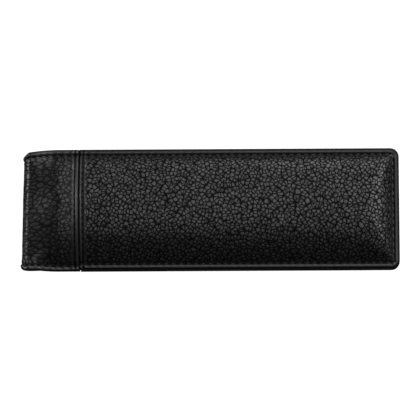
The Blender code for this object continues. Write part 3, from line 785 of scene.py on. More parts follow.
def leather_material(name):
    """Black pebble-grained leather: glossy tops, matt creases darkened with painted shade, painted shade
    along its edges and stitch lines, a painted highlight on its beads and ribs, and flatter grain where it is
    pulled.
    """
    look = bpy.context.scene.pen_leather
    material, tree, shader = new_material(name)
    place = attribute_of(tree, "spread", "Vector")
    painted_highlight, painted_shade = attribute_of(tree, "painted_highlight"), attribute_of(tree, "painted_shade")
    maths = partial(math_of, tree)
    links = (("Place", place), ("Cell width", look.grain), ("Smoothed", attribute_of(tree, "calm")))
    grain = group_of(tree, "pebble_grain", links)
    pores = noise_of(tree, place, 5200.0, 3.0)
    mottle = noise_of(tree, place, 60.0, 3.0)
    # Painted shade: low joins the shade painted in the grain's creases and folds with the painted shade along
    # edges, stitch lines and the seam. It turns the colour to the valley shade, roughens it and takes away
    # the coat.
    low = maths("MAXIMUM", grain.outputs["Crease"], maths("MULTIPLY", painted_shade, 0.9), clamped=True)
    brighter = [part * 1.5 for part in look.top]
    top = mixed(tree, ranged(tree, grain.outputs["Tint"], 0.25, 0.8), look.top, brighter)
    base = mixed(tree, low, top, look.valley_shade)
    # Painted highlight: the beads, the seam ribs and the mouth's fold are mixed towards a lighter grey.
    base = mixed(tree, maths("MULTIPLY", painted_highlight, 0.4), base, (0.02, 0.0195, 0.019))
    rough = maths("MULTIPLY_ADD", low, 0.4, look.gloss)
    for noise, strength in ((mottle, 0.2), (pores, 0.18)):
        rough = maths("MULTIPLY_ADD", maths("SUBTRACT", noise, 0.5), strength, rough)
    rough = maths("MULTIPLY_ADD", painted_highlight, 0.08, rough, clamped=True)
    coat = maths("MULTIPLY", maths("SUBTRACT", 1.0, low), look.polish, clamped=True)
    tree.links.new(coat, shader.inputs["Coat Weight"])
    shader.inputs["Coat Roughness"].default_value = 0.38
    shader.inputs["IOR"].default_value = 1.13
    fine = raised(tree, shader, pores, 0.00003)
    dress(tree, shader, base, rough, grain.outputs["Height"], look.grain_depth, fine)
    return material


def thread_material():
    """Black waxed thread, with its twist."""
    look = bpy.context.scene.pen_thread
    material, tree, shader = new_material("black_waxed_thread")
    plies = group_of(tree, "twisted_plies", (("Place", attribute_of(tree, "spread", "Vector")),))
    # Painted shade: the grooves between the plies take 0.4 times the thread's colour, the plies 1.6 times.
    light, dark = ([part * times for part in look.colour] for times in (1.6, 0.4))
    base = mixed(tree, plies.outputs["Groove"], light, dark)
    wax = noise_of(tree, attribute_of(tree, "spread", "Vector"), 900.0)
    shader.inputs["IOR"].default_value = 1.15
    dress(tree, shader, base, ranged(tree, wax, 0.3, 0.7, 0.42, 0.66), plies.outputs["Height"], 0.00008)
    return material


def lining_material():
    """Closely woven black lining cloth with a dusty bloom."""
    look = bpy.context.scene.pen_lining
    material, tree, shader = new_material("black_lining_cloth")
    place = attribute_of(tree, "spread", "Vector")
    weave = group_of(tree, "plain_weave", (("Place", place), ("Thread width", look.weave)))
    bloom = ranged(tree, noise_of(tree, place, 70.0, 4.0), 0.35, 0.7, 0.0, 0.5)
    # Painted shade: the gaps between the threads take the darker gap colour.
    base = mixed(tree, weave.outputs["Gap"], look.thread, look.gap)
    base = mixed(tree, bloom, base, (0.035, 0.034, 0.034))
    shader.inputs["Sheen Weight"].default_value = 0.25
    height = weave.outputs["Height"]
    dress(tree, shader, base, ranged(tree, height, 0.2, 1.4, 0.95, 0.78), height, 0.00008)
    return material


def board_material():
    """Grey bookbinder's board, flecked with fibres."""
    material, tree, shader = new_material("grey_board")
    place = node(tree, "TexCoord").outputs["Object"]
    stretched = node(tree, "Mapping", (("Vector", place), ("Scale", (1.0, 6.0, 1.0))))
    fibres = noise_of(tree, stretched.outputs[0], 700.0, 4.0)
    flecks = ranged(tree, noise_of(tree, place, 1500.0, 2.0), 0.62, 0.72)
    base = mixed(tree, ranged(tree, fibres, 0.3, 0.7), (0.2, 0.185, 0.16), (0.31, 0.29, 0.255))
    base = mixed(tree, flecks, base, (0.09, 0.08, 0.07))
    dress(tree, shader, base, ranged(tree, fibres, 0.3, 0.7, 0.95, 0.82), fibres, 0.00006)
    return material


def tape_material():
    """Grey woven stay tape."""
    material, tree, shader = new_material("woven_stay_tape")
    place = attribute_of(tree, "spread", "Vector")
    weave = group_of(tree, "plain_weave", (("Place", place), ("Thread width", 0.0006)))
    # Painted shade: the gaps between the tape's threads are darker.
    base = mixed(tree, weave.outputs["Gap"], (0.12, 0.12, 0.12), (0.03, 0.03, 0.03))
    height = weave.outputs["Height"]
    dress(tree, shader, base, ranged(tree, height, 0.2, 1.4, 0.95, 0.8), height, 0.0001)
    return material


def magnet_material():
    """Nickel plating, brushed in rings by handling and slightly dulled."""
    material, tree, shader = new_material("nickel_plating")
    place = node(tree, "TexCoord").outputs["Object"]
    stretched = node(tree, "Mapping", (("Vector", place), ("Scale", (1.0, 9.0, 1.0))))
    scuffs = noise_of(tree, stretched.outputs[0], 1200.0, 4.0)
    shader.inputs["Metallic"].default_value = 1.0
    base = mixed(tree, ranged(tree, scuffs, 0.4, 0.7), (0.66, 0.63, 0.58), (0.5, 0.48, 0.45))
    dress(tree, shader, base, ranged(tree, scuffs, 0.3, 0.7, 0.18, 0.4), scuffs, 0.00001)
    return material


def floor_material():
    """Matt studio floor, lit from behind as a white sweep is, with faint clouding."""
    look = bpy.context.scene.pen_stage
    material, tree, shader = new_material("white_sweep")
    clouds = noise_of(tree, node(tree, "TexCoord").outputs["Object"], 3.0, 2.0)
    base = mixed(tree, ranged(tree, clouds, 0.3, 0.7), look.floor, [part * 0.97 for part in look.floor])
    tree.links.new(base, shader.inputs["Base Color"])
    shader.inputs["Roughness"].default_value = 1.0
    shader.inputs["Specular IOR Level"].default_value = 0.0
    glow = node(tree, "Emission", (("Strength", look.floor_glow),))
    seen = node(tree, "LightPath").outputs["Is Camera Ray"]
    dark = node(tree, "Emission", (("Strength", 0.0),))
    picked = node(tree, "MixShader", ((0, seen), (1, dark.outputs[0]), (2, glow.outputs[0])))
    both = node(tree, "AddShader", ((0, shader.outputs[0]), (1, picked.outputs[0])))
    tree.links.new(both.outputs[0], tree.nodes["Material Output"].inputs["Surface"])
    return material


def material_named(name, make, *arguments):
    return bpy.data.materials.get(name) or make(*arguments)


def leather():
    return material_named("black_pebble_leather", leather_material, "black_pebble_leather")


def lining_cloth():
    return material_named("black_lining_cloth", lining_material)


def waxed_thread():
    return material_named("black_waxed_thread", thread_material)


# Pieces of the pouch


def wall_columns(open_end):
    """Places round the outline, close together beside the open end and in the corners."""
    run = CLOSED_END - open_end
    near = even_rows(0, (0.0042, 0.00018), (0.008, 0.0006), (run, 0.0011)) / run
    half = np.concatenate((near - 3, np.linspace(-2, -1, 9)[1:], np.linspace(-1, 0, 17)[1:]))
    return mirrored(half)


def shell(name, side, open_end, relief, trim=0.0):
    """A moulded leather wall: a round-edged profile round three sides, meeting itself in the middle."""
    sizes = bpy.context.scene.pen_pouch
    insets = even_rows(0.0008, (0.0042, 0.0002), (0.016, 0.0008), (HALF_WIDTH, 0.0012))
    inset, depth = edge_profile(sizes.leather, 0.0, insets)
    inner_depth = sizes.leather - depth
    rows = np.concatenate((inset[::-1], inset))[:, None]
    place = wall_columns(open_end)[None, :]
    points, looks = wall_face(side, open_end, rows, place)
    outer = (np.arange(len(rows)) >= len(inset))[:, None]
    height = relief(points, rows, place) * (rows > 0.0004)
    down = np.concatenate((inner_depth[::-1], depth))[:, None] - height * outer
    points = points - looks * down[..., None]
    points[..., 1] *= np.where(points[..., 1] < 0, 1 - trim / HALF_WIDTH, 1)
    spread = spread_of(rows, place, open_end)
    # A painted highlight along each edge's bead.
    painted_highlight = 0.5 * bump(rows, *EDGE_HIGHLIGHT) * np.ones(place.shape)
    edges = bpy.context.scene.pen_edges
    calm = 1.1 * (1 - eased(rows, edges.stitch_inset - 0.0006, edges.stitch_inset + 0.0016))
    if side > 0:
        calm = calm + 1 - eased(points[..., 0] - SEAM_X, edges.panel_row, edges.panel_row + 0.0022)
    thread = bpy.context.scene.pen_thread
    # Painted shade along the line of stitches.
    painted_shade = stitch_line_shade(rows - edges.stitch_inset, side_length(points, place), thread.edge_pitch)
    if side > 0:
        # Painted shade along the panel's row and in the cross seam's line, and a painted highlight on the
        # seam's rib.
        row = stitch_line_shade(points[..., 0] - SEAM_X - edges.panel_row, points[..., 1], thread.panel_pitch)
        row = np.maximum(row, bump(points[..., 0], SEAM_X, 0.0005))
        painted_shade = np.maximum(painted_shade, row)
        painted_highlight = np.maximum(painted_highlight, bump(points[..., 0] - SEAM_X, edges.panel_row * 0.5, 0.0006))
    # Painted shade on the outer edge: full within 0.7 mm, a quarter from 1.4 mm to 2.4 mm, none past 3.2 mm.
    edge_shade = 1 - 0.75 * eased(rows, 0.0007, 0.0014) - 0.25 * eased(rows, 0.0024, 0.0032)
    painted_shade = np.maximum(painted_shade, edge_shade)
    masks = (("painted_highlight", painted_highlight), ("calm", np.clip(calm, 0, 1)), ("painted_shade", painted_shade))
    return solid(name, points, spread, masks)


def side_length(points, place):
    """Length along the outline, near enough for the spacing of stitch holes."""
    return points[..., 0] + np.where(np.abs(place) < 2, points[..., 1], 0)


def back_relief(points, inset, place):
    """Relief of the back: its edges, the cross seam's rib and row, and soft dents."""
    edges, thread = bpy.context.scene.pen_edges, bpy.context.scene.pen_thread
    seam = seam_relief(points[..., 0] - SEAM_X, edges.panel_row, points[..., 1], thread.panel_pitch)
    soft = bpy.context.scene.pen_pouch.unevenness * dents(points[..., 0], points[..., 1], 0.4)
    return edge_relief(inset, side_length(points, place)) + seam + soft * eased(inset, 0.003, 0.012)


def front_relief(points, inset, place):
    """Relief of the front: its edges and soft dents."""
    soft = bpy.context.scene.pen_pouch.unevenness * dents(points[..., 0], points[..., 1], 2.6)
    return edge_relief(inset, side_length(points, place)) + soft * eased(inset, 0.003, 0.012)


def lining_shell(name, side, open_end):
    """A lining inside a wall, slightly slack, with a plain turned edge."""
    sizes = bpy.context.scene.pen_pouch
    insets = even_rows(sizes.lining_inset + 0.0004, (0.015, 0.0008), (HALF_WIDTH, 0.0016))
    inset, depth = edge_profile(sizes.lining, sizes.lining_inset, insets)
    rows = np.concatenate((inset[::-1], inset))[:, None]
    depths = sizes.lining_depth + np.concatenate((sizes.lining - depth[::-1], depth))[:, None]
    place = wall_columns(open_end)[None, ::2]
    points, looks = wall_face(side, open_end, rows, place)
    slack = 0.00012 * dents(points[..., 0] * 1.7, points[..., 1] * 1.7, 1.1 + side)
    points = points - looks * (depths + slack * eased(rows, 0.006, 0.012))[..., None]
    return solid(name, points, spread_of(rows, place, open_end))


class PENCASE_OT_pouch(bpy.types.Operator):
    """Lay the moulded leather walls and the linings of the pouch"""

    bl_idname = "pencase.pouch"
    bl_label = "Pouch Walls and Linings"

    def execute(self, context):
        sizes = context.scene.pen_pouch
        back = shell("back_leather", 1, SEAM_X + 0.0001, back_relief, sizes.near_trim)
        front = shell("front_leather", -1, FRONT_LOW.x, front_relief)
        finish(back, leather(), "pouch", ["back_panel"])
        finish(front, leather(), "pouch", ["front_panel"])
        for replaced, side in (("back_lining", 1), ("front_lining", -1)):
            cloth = lining_shell(replaced + "_cloth", side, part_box(replaced)[0].x)
            finish(cloth, lining_cloth(), "pouch", [replaced])
        return {"FINISHED"}


# Pieces of the flap


def flap_rows(length, insets, thickness, first=0.0):
    """Half a profile across the flap: the rounded edge, then fixed insets, then even steps to the middle."""
    edge_inset, edge_depth = edge_profile(1.0, 0.0, insets)
    round_rows = len(edge_inset) - len(insets)
    inset = np.broadcast_to(edge_inset[:, None], (len(edge_inset), len(length))).copy()
    inset[:round_rows] = edge_inset[:round_rows, None] * thickness
    inset = inset + first
    depth = edge_depth[:, None] * thickness
    middle = inset[-1] + (flap_half_width(length) - inset[-1]) * np.linspace(0, 1, 25)[1:, None]
    inset = np.concatenate((inset, middle))
    depth = np.concatenate((np.broadcast_to(depth, edge_inset.shape + length.shape), np.zeros(middle.shape)))
    return inset, depth


def flap_relief(length, y, inset):
    """Relief of the flap's leather: its edges, the cross seam's rib and row, the wrinkles, and soft dents."""
    edges, thread = bpy.context.scene.pen_edges, bpy.context.scene.pen_thread
    seam = seam_relief(length, edges.flap_row, y, thread.flap_pitch)
    soft = bpy.context.scene.pen_pouch.unevenness * dents(length, y, 4.2) * 0.5
    inner = eased(inset, 0.0028, 0.006)
    return edge_relief(inset, length) + seam + (wrinkle_relief(length, y) + soft) * inner


def flap_spread(length, y):
    """The flap laid flat, with its length drawn out round the open end so that the grain there is long."""
    fine = np.linspace(BORDERS[0] - 0.01, FLAP_END + 0.01, 900)
    pulled = eased(fine, BENDS[0] - 0.001, BENDS[0] + 0.004)
    pulled = pulled * (1 - eased(fine, BENDS[5] - 0.002, BENDS[5] + 0.004))
    drawn = np.cumsum(1 - 0.5 * pulled) * (fine[1] - fine[0])
    return flat_places(-np.interp(length, fine, drawn), y)


def flap_masks(length, y, inset):
    """Where the flap's edge and seam rib get a painted highlight and where its grain is flat, by the seam and
    over the bends; and where painted shade darkens its edge, stitch lines, seam line and folded end.
    """
    # A painted highlight along the edge's bead.
    painted_highlight = 0.5 * bump(inset, *EDGE_HIGHLIGHT)
    edges = bpy.context.scene.pen_edges
    pulled = 1 - 0.7 * eased(length, edges.flap_row, edges.flap_row + 0.002) - 0.3 * ease(length / 0.012)
    pulled = pulled + 0.12 * eased(length, BENDS[0] - 0.002, BENDS[0] + 0.003) * (length < BENDS[5])
    pulled = pulled + 1.1 * (1 - eased(inset, edges.stitch_inset - 0.0006, edges.stitch_inset + 0.0016))
    thread = bpy.context.scene.pen_thread
    # Painted shade along the cross row and in the seam's line, then along the edge's stitches.
    row = np.maximum(stitch_line_shade(length - edges.flap_row, y, thread.flap_pitch), bump(length, 0, 0.0005))
    painted_shade = np.maximum(stitch_line_shade(inset - edges.stitch_inset, length, thread.edge_pitch), row)
    # Painted shade on the outer edge, and at 0.3 over the flap from its first bend on.
    painted_shade = np.maximum(painted_shade, 1 - eased(inset, 0.0004, 0.0012))
    painted_shade = np.maximum(painted_shade, 0.3 * eased(length, BENDS[0] - 0.002, BENDS[0] + 0.003))
    # A painted highlight on the seam's rib too.
    painted_highlight = np.maximum(painted_highlight + np.zeros(y.shape), bump(length, edges.flap_row * 0.5, 0.0006))
    return (("painted_highlight", painted_highlight), ("calm", np.clip(pulled, 0, 1)), ("painted_shade", painted_shade))


def flap_strip(name, start, end):
    """A length of the flap: a ring-shaped profile across it, carried along its rounded path."""
    first = start == BORDERS[0]
    length = even_rows(start, *([(0.0045, 0.00018), (end, 0.0004)] if first else [(end, 0.00035)]))
    thickness = flap_thickness(length)
    inset, depth = flap_rows(length, even_rows(0.0011, (0.0042, 0.00022)), thickness)
    y = flap_half_width(length) - inset
    along = length[None, :]
    across, inset, down = mirrored(y), mirrored(inset, 1), mirrored(depth, 1)
    points, looks = flap_face(along, across), flap_looks(along, across)
    height = flap_relief(along, across, inset) * (inset > 0.0003)
    spread, masks = flap_spread(along, across), flap_masks(along, across, inset)
    return sheet(name, points, looks, down - height, thickness - down, spread, masks, ring=True, meets=True)


def tongue_grid(start, first, insets, thickness, corner):
    """Lengths and widths over the flap's last strip: its outline carried inwards from three rounded sides."""
    inset, depth = edge_profile(thickness, first, insets)
    run = FLAP_END - start
    near = even_rows(0, (run, 0.0007)) / run
    half = np.concatenate((near - 3, np.linspace(-2, -1, 15)[1:], np.linspace(-1, 0, 25)[1:]))
    place = mirrored(half)[None, :]
    rows = inset[:, None]
    radius = np.maximum(corner - rows, 0) + np.zeros(place.shape)
    length, y, _, _ = outline(start, FLAP_END, TONGUE_HALF_WIDTH, rows, rows, radius, place)
    return length, y, rows + np.zeros(place.shape), depth[:, None] + np.zeros(place.shape)


def tongue_strip(name, start):
    """The flap's last strip, whose round edge goes on over the tongue's corners and tip."""
    sizes = bpy.context.scene.pen_flap
    insets = even_rows(0.0016, (0.0042, 0.00024), (TONGUE_HALF_WIDTH, 0.0011))
    length, y, inset, depth = tongue_grid(start, 0.0, insets, MM, sizes.tongue_corner)
    thickness = flap_thickness(length)
    points, looks = flap_face(length, y), flap_looks(length, y)
    travelled = length + np.where(length > FLAP_END - sizes.tongue_corner, np.abs(y), 0)
    height = flap_relief(length, y, inset) - edge_relief(inset, length) + edge_relief(inset, travelled)
    down = depth * thickness / MM
    top = down - height * (inset > 0.0006)
    spread, masks = flap_spread(length, y), flap_masks(length, y, inset)
    return sheet(name, points, looks, top, thickness - down, spread, masks, meets=True)


def flap_lining_strip(name, start, end):
    """The flap's lining under one strip of leather: the same profile, thin, and set in from the edges."""
    length = even_rows(start, (end, 0.0006))
    top = flap_thickness(length) - SLIVER
    insets = even_rows(0.0006, (0.002, 0.0005))
    first = bpy.context.scene.pen_flap.lining_inset
    inset, depth = flap_rows(length, insets, np.full(length.shape, CLOTH), first)
    across, down = mirrored(flap_half_width(length) - inset), mirrored(depth, 1)
    points, looks = flap_face(length[None, :], across), flap_looks(length[None, :], across)
    return sheet(name, points, looks, top + down, top + CLOTH - down, flat_places(-length, across), ring=True)


def tongue_lining_strip(name, start):
    """The lining of the last strip, whose edge follows the tongue's corners and tip."""
    sizes = bpy.context.scene.pen_flap
    insets = even_rows(sizes.lining_inset + 0.0006, (0.007, 0.0006), (TONGUE_HALF_WIDTH, 0.0016))
    length, y, _, depth = tongue_grid(start, sizes.lining_inset, insets, CLOTH, sizes.tongue_corner)
    top = flap_thickness(length) - SLIVER
    points, looks = flap_face(length, y), flap_looks(length, y)
    swell = np.zeros(y.shape)
    for magnet in ("tongue_magnet_left", "tongue_magnet_right"):
        low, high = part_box(magnet)
        middle, radius = (low + high) / 2, (high.x - low.x) / 2
        reach = np.hypot(points[..., 0] - middle.x, y - middle.y) / radius
        swell = swell + 0.00010 * ease(1.25 - reach) + 0.00006 * bump(reach, 1.05, 0.1)
    return sheet(name, points, looks, top + depth, top + CLOTH - depth + swell, flat_places(-length, y))


def bend_over(piece, number):
    """Works out two points on the flap's path on either side of a joint's bend, which nothing uses, and bakes
    the piece's place into its mesh; it sets up no bending.
    """
    reach = WIDE_BEND if number in (0, 5) else NARROW_BEND
    for length in (BENDS[number] - reach, BENDS[number] + reach):
        x, z = flap_path(length)
        look = flap_looks(np.array([length]), np.array([0.0]))[0]
    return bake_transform(piece)


class PENCASE_OT_flap(bpy.types.Operator):
    """Lay the flap's leather and lining round the open end, one strip over each bend"""

    bl_idname = "pencase.flap"
    bl_label = "Flap"

    def execute(self, context):
        for number in range(6):
            start, end = BORDERS[number], BORDERS[number + 1]
            leather_name, cloth_name = f"flap_leather_{number + 1}", f"flap_cloth_{number + 1}"
            if number < 5:
                strip = flap_strip(leather_name, start, end)
                cloth = flap_lining_strip(cloth_name, max(start, BENDS[0] - 0.0025), end)
                stands_for = [f"flap_fold_{number + 1}"] + (["flap_base"] if number == 0 else [])
                cloth_for = [f"flap_lining_{number + 1}"]
            else:
                strip, cloth = tongue_strip(leather_name, start), tongue_lining_strip(cloth_name, start)
                stands_for, cloth_for = ["flap_tongue"], ["tongue_lining"]
            finish(strip, leather(), replaces=stands_for)
            finish(cloth, lining_cloth(), replaces=cloth_for)
            bend_over(strip, number)
            bend_over(cloth, number)
        return {"FINISHED"}


# Mouth and divider


def dome_across(side, x, y):
    """Points of the back (side 1) or the front (side -1) at a width, by their inset from the sides."""
    x, y = np.broadcast_arrays(x, y)
    rise = bpy.context.scene.pen_pouch.margin_height + rise_at(HALF_WIDTH - np.abs(y), side)
    return np.stack((x, y, SEAM_LEVEL + side * rise), axis=-1)


def dome_looks(side, x, y):
    """The way such a dome looks, kept from crossing its edge."""
    edge = HALF_WIDTH - 2 * SMALL_STEP
    looks = normals_of(partial(dome_across, side), x, np.clip(y, -edge, edge))
    return np.where(looks[..., 2:] * side < 0, -looks, looks)


class PENCASE_OT_mouth(bpy.types.Operator):
    """Fold the leather band over the mouth's edge and set the divider between the pens"""

    bl_idname = "pencase.mouth"
    bl_label = "Mouth Band and Divider"

    def execute(self, context):
        self.fold_band(context.scene.pen_pouch)
        self.set_divider()
        return {"FINISHED"}

    def fold_band(self, sizes):
        """The band: a strip bent to a U over the front's edge, with one row of stitches."""
        start, end = BAND_LOW.x, BAND_HIGH.x
        wall, room = 0.0010, sizes.lining_depth + sizes.lining
        turn = np.radians(np.linspace(90, -90, 9))[1:-1]
        legs = even_rows(end, (start + room / 2, 0.0004))
        bends_x, depths = [], []
        for radius in (room / 2, room / 2 - wall):
            bends_x.append(np.concatenate((legs, start + room / 2 - radius * np.cos(turn), legs[::-1])))
            near, far = room / 2 - radius, room / 2 + radius
            depths.append(np.concatenate((legs * 0 + near, room / 2 - radius * np.sin(turn), legs * 0 + far)))
        x = np.concatenate((bends_x[0], bends_x[1][::-1]))[:, None]
        depth = np.concatenate((depths[0], depths[1][::-1]))[:, None]
        y = mirrored(even_rows(HALF_WIDTH - 0.0002, (HALF_WIDTH - 0.004, 0.0004), (0, 0.0009)))[None, :]
        points, looks = dome_across(-1, x, y), dome_looks(-1, x, y)
        held = np.minimum(1, (SEAM_LEVEL - 0.0001 - points[..., 2]) / room)
        line = start + 0.0034
        groove = 0.0003 * bump(x, line, 0.00045) * (depth < room / 2)
        height = edge_relief(HALF_WIDTH - np.abs(y), x) * (depth < 0.0002)
        height = height - groove * (0.75 + 0.25 * np.cos(2 * math.pi * y / 0.003))
        points = points - looks * (depth * held - height)[..., None]
        # The band's masks: a painted highlight on its fold over the mouth's edge, and painted shade along its
        # stitch line.
        masks = [
            ("painted_highlight", 0.8 * bump(x, start, 0.001) + 0 * y),
            ("calm", 0.5 + 0.3 * bump(x, start, 0.002) + 0 * y),
            ("painted_shade", bump(x, line, 0.0006) + 0 * y),
        ]
        band = solid("mouth_band_leather", points, flat_places(x + depth, y), masks, ring=True)
        finish(band, leather(), "pouch", ["mouth_band"])

    def set_divider(self):
        """The divider: a thin wall with round edges, slightly wavy between them and thinner at the mouth."""
        thick = (DIVIDER_HIGH.y - DIVIDER_LOW.y) / 2
        tall = (DIVIDER_HIGH.z - DIVIDER_LOW.z) / 2
        middle = (DIVIDER_HIGH.z + DIVIDER_LOW.z) / 2
        turn = np.linspace(0, math.pi, 9)[:-1] + math.pi / 16
        rise = np.linspace(-1, 1, 21)
        up_y = np.concatenate((-thick + 0 * rise, -thick * np.cos(turn)))
        up_z = np.concatenate(((tall - thick) * rise, tall - thick + thick * np.sin(turn)))
        ring_y, ring_z = (np.concatenate((up, -up))[:, None] for up in (up_y, up_z))
        x = even_rows(DIVIDER_LOW.x, (DIVIDER_HIGH.x, 0.0016))[None, :]
        ends = np.minimum(1, np.sqrt(np.clip((x - DIVIDER_LOW.x) / 0.0008 + 0.1, 0, 1)))
        wave = 0.00018 * np.sin(x / 0.0085 + 1.0) * np.cos(ring_z / tall * math.pi / 2)
        points = np.stack((x + 0 * ring_y, ring_y * ends + wave, middle + ring_z + 0 * x), axis=-1)
        divider = solid("divider_cloth", points, flat_places(x, ring_z), ring=True)
        finish(divider, lining_cloth(), "pouch", ["pen_divider"])


# Stitching


def stitches(name, centres, along, looks, pitch, flip=1):
    """Separate stitches: six-sided threads that leave one hole, lie slanted and dive into the next.

    Along a stitch, from -1 to 1, the thread goes straight, leans sideways by the slant, stands over the
    leather by 1 - u^4 and grows thinner by u^2 towards both holes."""
    sizes = bpy.context.scene.pen_thread
    u = np.array((-1, -0.82, -0.45, 0, 0.45, 0.82, 1))[None, :, None, None]
    turn = (np.arange(6) * math.pi / 3)[None, None, :, None]
    centres, along, looks = (values[:, None, None, :] for values in (centres, unit(along), unit(looks)))
    across = np.cross(looks, along)
    count = centres.shape[0]
    phase = np.arange(count)[:, None, None, None]
    length = pitch * sizes.fill / 2 * (1 + 0.05 * np.sin(phase * 2.4))
    lean = flip * sizes.slant * (1 + 0.3 * np.sin(phase * 1.3))
    lift = sizes.thickness * (1.25 * (1 - u**4) - 0.95)
    middle = centres + along * length * u + across * length * lean * u + looks * lift
    radius = sizes.thickness * (1 - 0.35 * u**2)
    points = middle + (looks * np.cos(turn) + across * np.sin(turn)) * radius
    rings, sides = 7, 6
    index = np.arange(count * rings * sides).reshape(count, rings, sides)
    around = np.roll(index, -1, axis=2)
    quads = np.stack((index[:, :-1], around[:, :-1], around[:, 1:], index[:, 1:]), axis=-1).reshape(-1, 4)
    first, last = index[:, 0], index[:, -1]
    caps = [first[:, [3, 2, 1, 0]], first[:, [5, 4, 3, 0]], last[:, [0, 1, 2, 3]], last[:, [0, 3, 4, 5]]]
    spread = np.zeros(points.shape)
    spread[..., 0] = (length * u)[..., 0]
    spread[..., 1] = (turn / (2 * math.pi))[..., 0]
    return add_mesh(name, points, np.concatenate([quads, *caps]), spread)


def evenly(points, pitch):
    """Places at equal steps along a line, as numbers of its points, half a pitch in from its ends."""
    lengths = np.concatenate(([0], np.cumsum(np.linalg.norm(np.diff(points, axis=0), axis=1))))
    count = max(1, round(lengths[-1] / pitch))
    wanted = (np.arange(count) + 0.5) * lengths[-1] / count
    return np.interp(wanted, lengths, np.arange(len(points)))


def picked(values, places):
    """Values of an array of vectors at in-between places."""
    steps = np.arange(len(values))
    return np.stack([np.interp(places, steps, values[:, axis]) for axis in range(3)], axis=-1)


def stitched_line(name, points, looks, pitch, flip=1, pull=0.75):
    """Stitches along a line on the leather, lying in its groove."""
    depth = bpy.context.scene.pen_edges.groove_depth * pull
    places = evenly(points, pitch)
    along = picked(np.gradient(points, axis=0), places)
    out = picked(looks, places)
    return stitches(name, picked(points, places) - unit(out) * depth, along, out, pitch, flip)


def round_three_sides(side, corner, end):
    """Places round an outline, with that many along a side, round a corner and along half the end."""
    half = (np.linspace(-3, -2, side), np.linspace(-2, -1, corner)[1:], np.linspace(-1, 0, end)[1:])
    return mirrored(np.concatenate(half))


def edge_line(side, open_end, start, trim=0.0):
    """The line of stitches round a wall's three sides, from a start on one side to the same on the other."""
    inset = bpy.context.scene.pen_edges.stitch_inset
    place = round_three_sides(160, 12, 40)
    points, looks = wall_face(side, open_end, np.array([inset]), place)
    points[:, 1] *= np.where(points[:, 1] < 0, 1 - trim / HALF_WIDTH, 1)
    keep = points[:, 0] >= start
    return points[keep], looks[keep]


class PENCASE_OT_stitching(bpy.types.Operator):
    """Sew the edges, the two rows of the cross seam, the flap and the tongue"""

    bl_idname = "pencase.stitching"
    bl_label = "Stitching"

    def execute(self, context):
        edges, thread, pouch = context.scene.pen_edges, context.scene.pen_thread, context.scene.pen_pouch
        for label, side, open_end, trim in (
            ("back", 1, SEAM_X, pouch.near_trim),
            ("front", -1, FRONT_LOW.x, 0.0),
        ):
            line = edge_line(side, open_end, open_end + 0.0022, trim)
            run = stitched_line(f"{label}_edge_stitches", *line, thread.edge_pitch, side)
            finish(run, waxed_thread(), "pouch", [f"{label}_edge_thread"])
        half = HALF_WIDTH - edges.stitch_inset - 0.0007
        y = np.linspace(half, -half, 240)
        for label, length, pitch in (
            ("flap", edges.flap_row, thread.flap_pitch),
            ("panel", -edges.panel_row, thread.panel_pitch),
        ):
            line = self.line_on_flap(np.full(y.shape, length), y)
            run = stitched_line(f"{label}_row_stitches", *line, pitch, -1, 0.6)
            finish(run, waxed_thread(), "pouch", [f"seam_thread_{label}_side"])
        for number in range(5):
            length = np.linspace(BORDERS[number] + (0.0032 if number == 0 else 0), BORDERS[number + 1], 60)
            for label, hand in (("left", -1), ("right", 1)):
                line = self.line_on_flap(length, hand * (flap_half_width(length) - edges.stitch_inset))
                run = stitched_line(f"flap_stitches_{number + 1}_{label}", *line, thread.edge_pitch, -hand)
                finish(run, waxed_thread(), replaces=[f"flap_thread_{number + 1}_{label}"])
                bend_over(run, number)
        inset = edges.stitch_inset
        corner = context.scene.pen_flap.tongue_corner - inset
        place = round_three_sides(120, 24, 50)
        length, y, _, _ = outline(BORDERS[5], FLAP_END, TONGUE_HALF_WIDTH, inset, inset, corner, place)
        run = stitched_line("tongue_stitches", *self.line_on_flap(length, y), thread.edge_pitch, -1)
        finish(run, waxed_thread(), replaces=["tongue_thread"])
        bend_over(run, 5)
        return {"FINISHED"}

    def line_on_flap(self, length, y):
        """Points of a line on the flap and the way the leather looks there."""
        return flap_face(length, y), flap_looks(length, y)


class PENCASE_OT_hidden(bpy.types.Operator):
    """Give the boards, the stay tape and the magnets inside the leather their materials"""

    bl_idname = "pencase.hidden"
    bl_label = "Boards, Tape and Magnets"

    def execute(self, context):
        low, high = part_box("seam_stay_tape")
        top, thick = context.scene.pen_pouch.leather + SLIVER, 0.00045
        turn = np.radians(np.linspace(90, -90, 7))[1:-1]
        x = np.linspace(high.x - thick, low.x + thick, 14)
        round_end = thick / 2 * np.cos(turn)
        x = np.concatenate((x, low.x + thick - round_end, x[::-1], high.x - thick + round_end))[:, None]
        down = np.concatenate((np.zeros(14), thick / 2 * (1 - np.sin(turn))))
        depth = np.concatenate((down, thick - np.zeros(14), thick / 2 * (1 + np.sin(turn))))[:, None]
        y = np.linspace(high.y, low.y, 61)[None, :]
        points = dome_across(1, x, y) - dome_looks(1, x, y) * (top + depth)[..., None]
        tape = solid("woven_tape", points, flat_places(x, y), ring=True)
        finish(tape, tape_material(), "pouch", ["seam_stay_tape"])

        board, nickel = board_material(), magnet_material()
        for name, node_of_frame in frame["nodes"].items():
            if name.endswith("_board"):
                node_of_frame.material_slots[0].material = board
            elif "_magnet_" in name:
                node_of_frame.material_slots[0].material = nickel
        return {"FINISHED"}


# Stage


def area_light(name, place, target, width, height, power):
    """A soft rectangular light at a place, turned to a target."""
    data = bpy.data.lights.new(name, "AREA")
    data.shape = "RECTANGLE"
    data.size, data.size_y = width, height
    data.energy = power
    light = bpy.data.objects.new(name, data)
    bpy.context.scene.collection.objects.link(light)
    light.location = place
    light.rotation_euler = (Vector(target) - Vector(place)).to_track_quat("-Z", "Y").to_euler()


